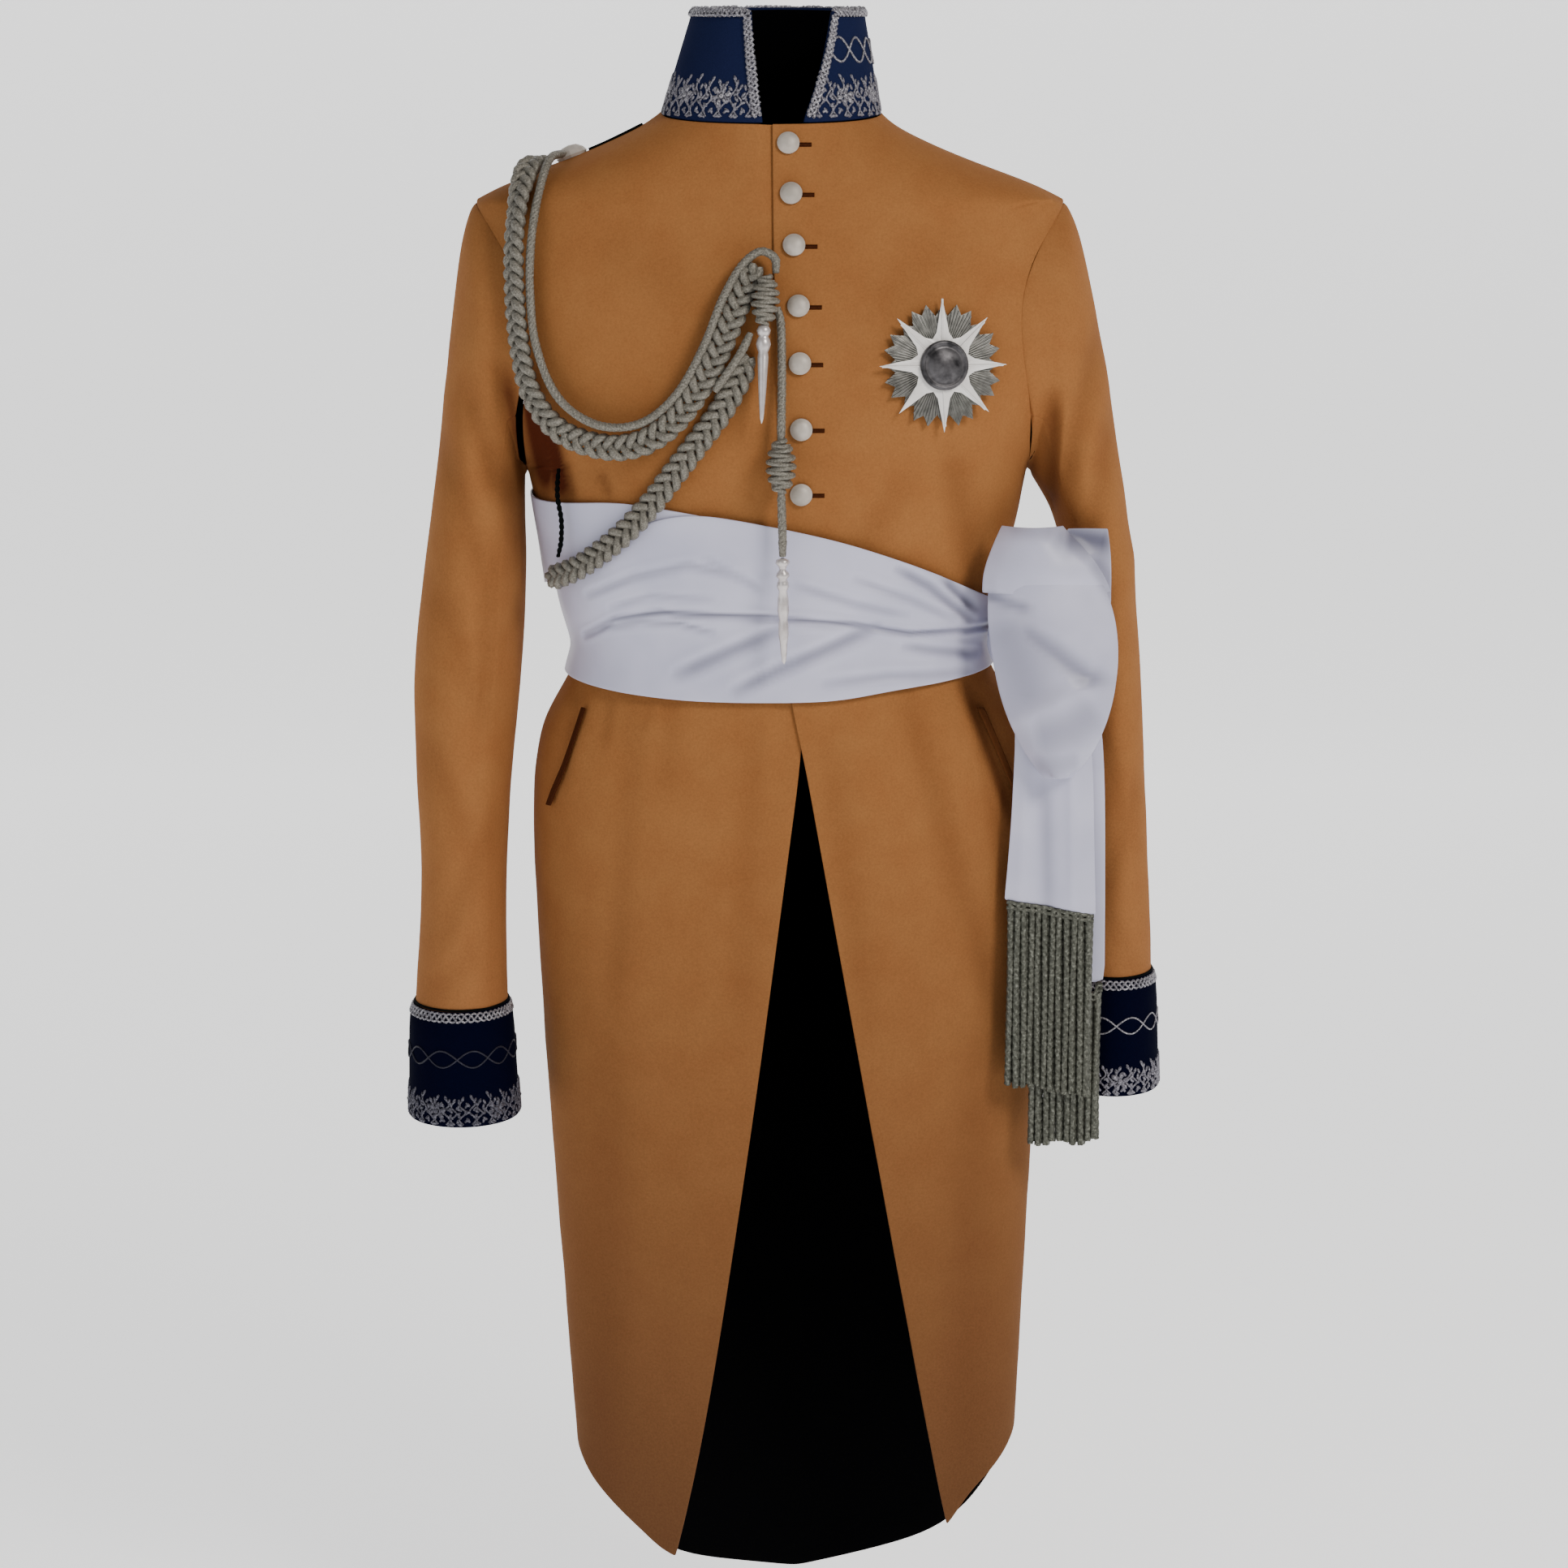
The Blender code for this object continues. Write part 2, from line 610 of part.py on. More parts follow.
def armhole_point(turn, side):
    """A point of the sleeve's head, just outside the armhole of the body panels."""
    z = armhole_z(turn)
    back = math.sin(turn) < 0
    y = max(abs(math.sin(turn)) * (ARMHOLE_BACK if back else ARMHOLE_FRONT), 0.01)
    angle = angle_at_depth(section_at(z), y if back else -y, side)
    gap = SLEEVE_HEAD * Vector((side, -0.4 * math.sin(turn), -0.6 * math.cos(turn)))
    return body_point(angle, z) + gap


def build_sleeve(name, rings, side, collection):
    """A two-piece sleeve: the top piece goes round the outside, the under piece lies against the body."""
    pieces = (
        ("top", UNDER_TO - 360, UNDER_FROM, TOP_COLUMNS),
        ("under", UNDER_FROM, UNDER_TO, UNDER_COLUMNS),
    )
    for label, start, end, columns in pieces:
        rows = []
        for ring in reversed(rings):
            rows.append(sleeve_row(lambda turn: ring_point(ring, turn, side), start, end, columns, side))
        rows.append(sleeve_row(lambda turn: armhole_point(turn, side), start, end, columns, side))
        add_sheet(f"{name}_{label}", rows, WOOL, "wool", collection)


def sleeve_row(place, start, end, columns, side):
    """One row of a sleeve piece, in from each seam by half the gap, running to the wearer's left."""
    trial = (place(math.radians(start + 1)) - place(math.radians(start))).length
    inset = SLEEVE_SEAM / 2 / trial
    first, last = start + inset, end - inset
    turns = [math.radians(mix(first, last, share)) for share in column_shares(columns)]
    if side > 0:
        turns.reverse()
    return [place(turn) for turn in turns]


def build_cuff(name, rings, side, collection):
    rows = []
    for ring in reversed(rings):
        turns = [2 * math.pi * j / CUFF_COLUMNS for j in range(CUFF_COLUMNS)]
        if side > 0:
            turns.reverse()
        rows.append([ring_point(ring, turn, side) for turn in turns])
    add_sheet(name, rows, CUFF_WALL, "navy_velvet", collection, wraps=True)


def collar_point(angle, share):
    """A point of the collar's outer face, from the neck line to its top edge."""
    low = body_point(angle, neck_z(angle)) + Vector((0.0, 0.0, 2 * SEAM))
    high = section_point(COLLAR_TOP, angle, COLLAR_TOP.z - COLLAR_BACK_RISE * math.cos(angle))
    return low.lerp(high, share)


def collar_rows(inside, trim):
    """Rows of the collar, moved inside its outer face and cut back from its edges."""
    rows = []
    for share in COLLAR_SHARES:
        share = mix(trim / 80, 1 - trim / 80, share)
        low = section_at(neck_z(0))
        left = [x + trim for x in COLLAR_LEFT_X]
        right = [x - trim for x in COLLAR_RIGHT_X]
        start = mix(angle_at_x(low, left[0]), angle_at_x(COLLAR_TOP, left[1]), share)
        end = mix(angle_at_x(low, right[0]), angle_at_x(COLLAR_TOP, right[1]), share) + 2 * math.pi
        row = []
        for j in range(COLLAR_COLUMNS + 1):
            angle = mix(start, end, j / COLLAR_COLUMNS)
            normal = surface_normal(collar_point, angle, share, (0.02, 0.02))
            row.append(collar_point(angle, share) - normal * inside)
        rows.append(row)
    return rows


def build_collar(collection):
    """The collar and its black lining, which hangs down inside the neck of the backs."""
    add_sheet("collar", collar_rows(0.0, 0.0), COLLAR_WALL, "navy_velvet", collection)
    rows = collar_rows(COLLAR_WALL + COLLAR_GAP, 2.0)
    foot = []
    for point in rows[0]:
        drop = mix(1.0, LINING_DROP, ease(point.y, -20, 20))
        foot.append(point - Vector((0.0, 0.0, drop)))
    add_sheet("collar_lining", [foot, *rows], LINING, "black_lining", collection)


def fold_rise(angle, z, folds):
    """How far the folds lift the sash at one place."""
    total = 0.0
    for fold in folds:
        low, high = sorted((fold.angle_a, fold.angle_b))
        if low < angle < high:
            share = (angle - fold.angle_a) / (fold.angle_b - fold.angle_a)
            away = (z - mix(fold.z_a, fold.z_b, share)) / fold.width
            total += fold.rise * math.sin(math.pi * share) ** 0.7 * math.exp(-away * away)
    return total


def main_turn_out(degrees, z, band):
    """The main turn bulges above and below its crease and turns in at its edges."""
    top, crease, bottom = band
    if z > crease:
        share = (z - crease) / (top - crease)
    else:
        share = (crease - z) / (crease - bottom)
    crown = 4 * share * (1 - share)
    return SASH_MAIN_OUT + 1.8 * crown + fold_rise(degrees, z, SASH_FOLDS) * min(1.0, 1.6 * crown)


def upper_turn_out(degrees, z, band):
    """The upper turn hangs away from the body at the right side, most at its lower edge."""
    share = (band[0] - z) / (band[0] - band[2])
    away = (degrees - FLARE_ANGLE) / FLARE_SPREAD
    return SASH_UPPER_OUT + FLARE * share**1.5 * math.exp(-away * away)


def build_sash_turn(name, table, columns, out, shares, collection):
    rows = []
    first, last = table[0].angle, table[-1].angle
    for share in shares:
        row = []
        for j in range(columns + 1):
            degrees = mix(first, last, j / columns)
            band = read_table(table, degrees)
            if share < 0.5:
                z = mix(band[2], band[1], share * 2)
            else:
                z = mix(band[1], band[0], share * 2 - 1)
            row.append(body_point(math.radians(degrees), z, out(degrees, z, band)))
        rows.append(row)
    add_sheet(name, rows, SATIN, "satin", collection)


def build_sash(collection):
    main_shares = (0.0, 0.14, 0.32, 0.5, 0.66, 0.84, 1.0)
    upper_shares = (0.0, 0.35, 0.7, 1.0)
    build_sash_turn("sash_main", SASH_MAIN, SASH_COLUMNS, main_turn_out, main_shares, collection)
    build_sash_turn("sash_upper", SASH_UPPER, UPPER_COLUMNS, upper_turn_out, upper_shares, collection)
    shape = bmesh.new()
    bmesh.ops.create_uvsphere(shape, u_segments=12, v_segments=8, radius=MM)
    bmesh.ops.scale(shape, vec=SASH_KNOT_HALF, verts=shape.verts)
    mesh = bpy.data.meshes.new("sash_knot")
    shape.to_mesh(mesh)
    shape.free()
    mesh.shade_smooth()
    knot = add_object("sash_knot", mesh, "satin", collection)
    knot.location = Vector(SASH_KNOT) * MM


def outline_rows(rows, columns, bulge, slope=0.0, wave=0.0):
    """Rows of a hanging piece, from its outline; its middle bulges forward and its foot may slope."""
    points = []
    for row in rows:
        line = []
        for j in range(columns + 1):
            share = j / columns
            x = mix(row.left, row.right, share)
            lift = bulge * (1 - (2 * share - 1) ** 2) + wave * math.sin(3 * math.pi * share + 0.6)
            foot = slope * (x - row.left) * (rows[0].z - row.z) / (rows[0].z - rows[-1].z)
            line.append(Vector((x, -row.forward - lift, row.z + foot)))
        points.append(line)
    return points


def loop_rows(front, back, columns, bulge):
    """A loop of sash: its front layer bulges, and its back layer lies flat behind it."""
    rows = outline_rows(front, columns, bulge)
    for k, row in enumerate(outline_rows(back, columns, 0.0)):
        for point in row:
            share = (point.x - row[0].x) / (row[-1].x - row[0].x)
            if k == 0:
                point.y -= bulge * 0.3 * (1 - (2 * share - 1) ** 2)
        rows.append(row)
    return rows


def build_bow(collection):
    loop = loop_rows(BOW_FRONT, BOW_BACK_ROWS, BOW_COLUMNS, BOW_BULGE)
    loop.reverse()
    add_sheet("bow_loop", loop, SATIN, "satin", collection)
    crown = loop_rows(BOW_CROWN[:5], BOW_CROWN[5:], BOW_COLUMNS, CROWN_BULGE)
    add_sheet("bow_crown", crown, SATIN, "satin", collection)
    side = outline_rows(BOW_SIDE, 4, -1.5)
    side.reverse()
    add_sheet("bow_back", side, SATIN, "satin", collection)


def build_tails(collection):
    for name, table, strands in (("front", TAIL_FRONT, FRINGE_FRONT), ("back", TAIL_BACK, FRINGE_BACK)):
        wave = TAIL_WAVE if name == "front" else 0.0
        rows = outline_rows(table, TAIL_COLUMNS, 0.0, TAIL_SLOPE if name == "front" else 0.0, wave)
        foot = rows[-1]
        rows.reverse()
        add_sheet(f"tail_{name}", rows, SATIN, "satin", collection)
        build_fringe(f"fringe_{name}", foot, strands, 127 if name == "front" else 112, collection)


def build_fringe(name, foot, strands, length, collection):
    """A narrow strip under a tail's foot, with strands drawn down from every other face of its underside."""
    shape = bmesh.new()
    ends = foot[0], foot[-1]
    width = (ends[1] - ends[0]).x
    pitch = width / strands
    stops = []
    for k in range(strands):
        middle = (k + 0.5) * pitch
        stops += [middle - STRAND / 2, middle + STRAND / 2]
    stops = [0.0] + stops + [width]
    columns = len(stops) - 1
    bmesh.ops.create_grid(shape, x_segments=columns, y_segments=1, size=1)
    shape.verts.ensure_lookup_table()
    for i in (0, 1):
        for j, stop in enumerate(stops):
            share = stop / width
            drop = Vector((0.0, 1.0 + STRIP_DEPTH * (i - 0.5), -SEAM - STRIP_HEIGHT))
            place = ends[0].lerp(ends[1], share) + drop
            place.y += foot_depth(foot, share) - ends[0].y
            shape.verts[i * (columns + 1) + j].co = place
    bmesh.ops.recalc_face_normals(shape, faces=shape.faces)
    low = [face for face in shape.faces]
    for face in low:
        if face.normal.z > 0:
            face.normal_flip()
    top = bmesh.ops.extrude_face_region(shape, geom=low, use_keep_orig=True)
    raised = [item for item in top["geom"] if isinstance(item, bmesh.types.BMVert)]
    bmesh.ops.translate(shape, vec=(0.0, 0.0, STRIP_HEIGHT), verts=raised)
    bmesh.ops.recalc_face_normals(shape, faces=shape.faces)
    down = [face for face in shape.faces if face.normal.z < -0.9]
    down.sort(key=lambda face: face.calc_center_median().x)
    roots = down[1::2]
    for k, root in enumerate(roots):
        face = root
        for step in range(3):
            grown = bmesh.ops.extrude_discrete_faces(shape, faces=[face])
            face = grown["faces"][0]
            sway = 0.22 * math.sin(2.1 * k + 1.3 * step)
            drop = length / 3 + (1.5 * math.sin(1.7 * k) if step == 2 else 0.0)
            bmesh.ops.translate(shape, vec=(sway, 0.4 * math.cos(1.9 * k + step), -drop), verts=face.verts)
    bmesh.ops.scale(shape, vec=(MM, MM, MM), verts=shape.verts)
    bmesh.ops.recalc_face_normals(shape, faces=shape.faces)
    mesh = bpy.data.meshes.new(name)
    shape.to_mesh(mesh)
    shape.free()
    add_object(name, mesh, "bullion", collection)


def foot_depth(foot, share):
    """The depth of a tail's foot at a share of its width."""
    place = share * (len(foot) - 1)
    k = min(int(place), len(foot) - 2)
    return mix(foot[k].y, foot[k + 1].y, place - k)


def turned_object(name, profile, steps, finish, collection):
    """A turned piece: its profile spun about its own axis by Screw."""
    mesh = bpy.data.meshes.new(name)
    points = [(row.radius * MM, 0.0, row.height * MM) for row in profile]
    mesh.from_pydata(points, [(k, k + 1) for k in range(len(points) - 1)], [])
    item = add_object(name, mesh, finish, collection)
    screw = item.modifiers.new("Turn", "SCREW")
    screw.axis = "Z"
    screw.angle = 2 * math.pi
    screw.steps = steps
    screw.render_steps = steps
    screw.use_merge_vertices = True
    screw.merge_threshold = 0.00001
    screw.use_smooth_shade = True
    return item


def place_on_axis(item, origin, direction):
    turn = direction.to_track_quat("Z", "Y").to_matrix().to_4x4()
    item.matrix_world = Matrix.Translation(Vector(origin) * MM) @ turn


def build_buttons(collection):
    for k, spot in enumerate(BUTTONS, 1):
        button = turned_object(f"button_{k}", BUTTON_PROFILE, BUTTON_STEPS, "button", collection)
        foot = front_point(spot.x, spot.z, 0.3)
        place_on_axis(button, foot, front_point(spot.x, spot.z, 10) - foot)


def build_shoulder(collection):
    """The strap lies along the ridge of the right shoulder and the knob sits at its end."""
    rows = []
    for depth in (1.0, 0.33, -0.33, -1.0):
        row = []
        for k in range(6):
            x = mix(STRAP_FROM, STRAP_TO, k / 5)
            z = ridge_z(x)
            angle = angle_at_depth(section_at(z), depth * STRAP_HALF + (0.01 if depth > 0 else -0.01), -1)
            row.append(body_point(angle, z, STRAP_LIFT + STRAP_THICK))
        row.reverse()
        rows.append(row)
    rows.reverse()
    add_sheet("shoulder_strap", rows, STRAP_THICK, "navy_velvet", collection)
    knob = turned_object("shoulder_button", KNOB_PROFILE, BUTTON_STEPS, "button", collection)
    z = ridge_z(-KNOB_X)
    foot = body_point(-QUARTER, z, 0.6)
    place_on_axis(knob, foot, body_point(-QUARTER, z, 10) - foot)


def ridge_z(x):
    """The height of the shoulder's ridge at a distance from the middle."""
    low, high = SHOULDER_Z, 0.0
    for _ in range(30):
        middle = (low + high) / 2
        if section_at(middle).half > x:
            low = middle
        else:
            high = middle
    return (low + high) / 2


def smooth_route(route, spacing):
    """Points at an even spacing on a smooth curve through a route's own points."""
    points = [Vector(point) for point in route]
    points = [2 * points[0] - points[1]] + points + [2 * points[-1] - points[-2]]
    fine = []
    for k in range(1, len(points) - 2):
        a, b, c, d = points[k - 1:k + 3]
        for step in range(20):
            t = step / 20
            bend = (2 * a - 5 * b + 4 * c - d) * t**2
            twist = (3 * b - a - 3 * c + d) * t**3
            fine.append(0.5 * (2 * b + (c - a) * t + bend + twist))
    fine.append(points[-2])
    length = sum((b - a).length for a, b in zip(fine, fine[1:]))
    count = max(2, round(length / spacing))
    even, travelled, k = [fine[0]], 0.0, 1
    for a, b in zip(fine, fine[1:]):
        travelled += (b - a).length
        if travelled >= k * length / count - 1e-6 and k < count:
            even.append(b)
            k += 1
    even.append(fine[-1])
    return even


def build_cord(name, route, radius, finish, collection):
    curve = bpy.data.curves.new(name, "CURVE")
    curve.dimensions = "3D"
    curve.bevel_depth = radius * MM
    curve.bevel_resolution = 2
    curve.use_fill_caps = True
    points = smooth_route(route, radius * 4)
    spline = curve.splines.new("POLY")
    spline.points.add(len(points) - 1)
    for place, point in zip(spline.points, points):
        place.co = (*(point * MM), 1.0)
    cord = bpy.data.objects.new(name, curve)
    curve.materials.append(make_material(finish))
    collection.objects.link(cord)


def build_plait(name, route, half_from, half_to, collection):
    """A flat plait: an oval section carried along its route, its flat face towards the cloth."""
    points = smooth_route(route, 15)
    shape = bmesh.new()
    rings = []
    for k, point in enumerate(points):
        ahead = (points[min(k + 1, len(points) - 1)] - points[max(k - 1, 0)]).normalized()
        out = Vector((point.x * 0.6, point.y, 0.0)).normalized()
        if point.z > -60:
            out = out.lerp(Vector((0.0, 0.0, 1.0)), ease(point.z, -80, -30)).normalized()
        across = ahead.cross(out).normalized()
        out = across.cross(ahead).normalized()
        half = mix(half_from, half_to, k / (len(points) - 1))
        thick = PLAIT_THICK * (0.75 if k in (0, len(points) - 1) else 1.0)
        ring = []
        for j in range(PLAIT_SIDES):
            turn = 2 * math.pi * (j + 0.5) / PLAIT_SIDES
            reach = across * half * math.cos(turn) + out * thick * math.sin(turn)
            ring.append(shape.verts.new((point + reach) * MM))
        rings.append(ring)
    for low, high in zip(rings, rings[1:]):
        edges = []
        for ring in (low, high):
            for a, b in zip(ring, ring[1:] + ring[:1]):
                edges.append(shape.edges.get((a, b)) or shape.edges.new((a, b)))
        bmesh.ops.bridge_loops(shape, edges=edges)
    shape.faces.new(rings[0])
    shape.faces.new(rings[-1])
    bmesh.ops.recalc_face_normals(shape, faces=shape.faces)
    mesh = bpy.data.meshes.new(name)
    shape.to_mesh(mesh)
    shape.free()
    mesh.shade_smooth()
    add_object(name, mesh, "silver_cord", collection)


def build_aiguillette(collection):
    build_plait("plait_front", PLAIT_FRONT, PLAIT_HALF, PLAIT_HALF_END, collection)
    build_plait("plait_under", PLAIT_UNDER, PLAIT_HALF_END, PLAIT_HALF, collection)
    cords = (("cord_upper", CORD_UPPER), ("cord_lower", CORD_LOWER), ("cord_drop_1", CORD_DROP_1),
             ("cord_drop_2", CORD_DROP_2))
    for name, route in cords:
        build_cord(name, route, CORD_RADIUS, "silver_cord", collection)
    build_cord("arm_loop", ARM_LOOP, ARM_LOOP_RADIUS, "navy_velvet", collection)
    turned = (
        ("knot_1", KNOT_PROFILE, KNOT_ONE, "silver_cord", 1.0),
        ("knot_2", KNOT_PROFILE, KNOT_TWO, "silver_cord", 1.0),
        ("tag_1", TAG_PROFILE, TAG_ONE, "silver", 1.0),
        ("tag_2", TAG_PROFILE, TAG_TWO, "silver", TAG_TWO_SCALE),
    )
    for name, profile, ends, finish, scale in turned:
        rows = [Profile(row.radius * min(scale, 1.0), row.height * scale) for row in profile]
        item = turned_object(name, rows, TURNED_STEPS, finish, collection)
        place_on_axis(item, ends[0], Vector(ends[0]) - Vector(ends[1]))


def build_welts(collection):
    """Slanting welts on both hips, mirrored about the middle of the body."""
    for name, side in (("pocket_welt_right", -1), ("pocket_welt_left", 1)):
        rows = []
        for k in range(WELT_ROWS):
            share = k / (WELT_ROWS - 1)
            z = mix(WELT_BOTTOM.z, WELT_TOP.z, share)
            x = mix(WELT_BOTTOM.x, WELT_TOP.x, share)
            middle = section_at(z).middle
            if side > 0:
                x = 2 * middle - x
            half = WELT_WIDTH / 2
            rows.append([front_point(x + step, z, WELT_LIFT + WELT_THICK) for step in (-half, 0.0, half)])
        add_sheet(name, rows, WELT_THICK, "welt", collection)


def star_shape(name, rim, ring, heights, finish, collection):
    """A flat-backed solid from a closed outline: a rim, a raised ring inside it and a middle."""
    shape = bmesh.new()
    turns = [2 * math.pi * k / len(rim) for k in range(len(rim))]

    def circle(radii, height):
        points = [Vector((r * math.sin(t), r * math.cos(t), height)) for r, t in zip(radii, turns)]
        return [shape.verts.new(point * MM) for point in points]

    under = circle(rim, 0.0)
    edge = circle(rim, heights[0])
    inner = circle([ring] * len(rim), heights[1])
    high = shape.verts.new((0.0, 0.0, heights[2] * MM))
    shape.faces.new(under)
    for k in range(len(rim)):
        n = (k + 1) % len(rim)
        shape.faces.new((under[k], under[n], edge[n], edge[k]))
        shape.faces.new((edge[k], edge[n], inner[n], inner[k]))
        shape.faces.new((inner[k], inner[n], high))
    bmesh.ops.recalc_face_normals(shape, faces=shape.faces)
    mesh = bpy.data.meshes.new(name)
    shape.to_mesh(mesh)
    shape.free()
    return add_object(name, mesh, finish, collection)


def build_star(collection):
    """A badge of eight ray bundles under eight slim arms, with a round centre."""
    rays = [RAY_TIPS[k % len(RAY_TIPS)] for k in range(STAR_ARMS * len(RAY_TIPS))]
    arms = [ARM_TIPS[k % len(ARM_TIPS)] for k in range(STAR_ARMS * len(ARM_TIPS))]
    seat = front_point(STAR_MIDDLE.x, STAR_MIDDLE.z, STAR_LIFT)
    out = front_point(STAR_MIDDLE.x, STAR_MIDDLE.z, STAR_LIFT + 10) - seat
    pieces = (
        ("star_rays", rays, STAR_DISC, (0.8, 1.8, 1.8), "silver", 0.0),
        ("star_arms", arms, STAR_DISC - 1, (0.8, 1.6, 1.6), "white_enamel", 2.2),
        ("star_centre", [STAR_DISC] * 20, STAR_DISC - 2, (1.6, 2.2, 3.8), "oxidised", 4.2),
    )
    for name, rim, ring, heights, finish, lift in pieces:
        piece = star_shape(name, rim, ring, heights, finish, collection)
        place_on_axis(piece, seat + out.normalized() * lift, out)


def main():
    clear_scene()
    coat = bpy.data.collections.new("dress_coat")
    bpy.context.scene.collection.children.link(coat)
    build_front_left(coat)
    build_front_right(coat)
    build_back(1, coat)
    build_back(-1, coat)
    build_back_lining(coat)
    build_sleeve("sleeve_left", SLEEVE_LEFT, 1, coat)
    build_sleeve("sleeve_right", SLEEVE_RIGHT, -1, coat)
    build_cuff("cuff_left", CUFF_LEFT, 1, coat)
    build_cuff("cuff_right", CUFF_RIGHT, -1, coat)
    build_collar(coat)
    build_welts(coat)
    build_buttons(coat)
    build_shoulder(coat)
    build_aiguillette(coat)
    build_star(coat)
    build_sash(coat)
    build_bow(coat)
    build_tails(coat)


main()
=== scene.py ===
"""Looks of a military dress coat: napped wool, satin sash, velvet with silver embroidery, cords and fringe.

Lengths in the tables are millimetres. X runs to the wearer's left, Y to the back and Z up, as in the frame.
"""

from __future__ import annotations

import logging
import math
from collections.abc import Sequence
from dataclasses import dataclass, field
from enum import Enum

import bmesh
import bpy
from mathutils import Matrix, Vector, noise
from mathutils.bvhtree import BVHTree

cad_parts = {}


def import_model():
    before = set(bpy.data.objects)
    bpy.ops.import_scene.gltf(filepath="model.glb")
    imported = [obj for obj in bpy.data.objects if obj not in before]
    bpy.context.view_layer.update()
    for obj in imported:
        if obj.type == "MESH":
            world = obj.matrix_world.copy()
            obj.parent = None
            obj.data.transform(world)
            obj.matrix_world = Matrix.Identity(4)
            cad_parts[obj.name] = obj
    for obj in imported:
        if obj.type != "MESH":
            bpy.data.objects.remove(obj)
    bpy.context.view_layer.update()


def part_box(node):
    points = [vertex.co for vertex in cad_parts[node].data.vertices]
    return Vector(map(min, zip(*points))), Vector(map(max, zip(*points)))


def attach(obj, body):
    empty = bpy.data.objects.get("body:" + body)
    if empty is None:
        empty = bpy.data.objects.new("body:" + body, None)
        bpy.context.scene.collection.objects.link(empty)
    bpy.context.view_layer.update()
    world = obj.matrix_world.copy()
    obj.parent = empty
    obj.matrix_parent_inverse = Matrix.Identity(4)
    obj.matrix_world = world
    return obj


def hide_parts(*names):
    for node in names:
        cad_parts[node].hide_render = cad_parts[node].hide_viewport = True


LOG = logging.getLogger("dress_coat")
MM = 0.001


class Side(Enum):
    """Which face of the coat a crease lies on."""

    FRONT = -1
    BACK = 1


class Hang(Enum):
    """What a cloth piece goes round, which gives the way its creases move it."""

    BODY = "body"
    LEFT_SLEEVE = "left sleeve"
    RIGHT_SLEEVE = "right sleeve"
    FORWARD = "forward"


def linear(code: str) -> tuple[float, float, float, float]:
    """Turns an sRGB hex colour to the linear values a shader takes.

    Args:
        code: six hex digits after a hash.

    Returns:
        Red, green, blue and alpha.
    """
    parts = [int(code[k:k + 2], 16) / 255 for k in (1, 3, 5)]
    values = [v / 12.92 if v <= 0.04045 else ((v + 0.055) / 1.055) ** 2.4 for v in parts]
    return values[0], values[1], values[2], 1.0


def add_node(tree: bpy.types.NodeTree, kind: str, settings: dict | None = None, links: dict | None = None):
    """Adds one shader node with its settings and links.

    Args:
        tree: the material's tree.
        kind: the node's type.
        settings: its attributes by name, or its inputs by name or number, and their values.
        links: its inputs by name or number, and the sockets that feed them.

    Returns:
        The node.
    """
    node = tree.nodes.new(kind)
    for name, value in (settings or {}).items():
        if isinstance(name, str) and hasattr(node, name):
            setattr(node, name, value)
        else:
            node.inputs[name].default_value = value
    for name, socket in (links or {}).items():
        tree.links.new(socket, node.inputs[name])
    return node


def per_mm(size: float) -> float:
    """The texture scale that gives features of a size in millimetres."""
    return 1000.0 / size


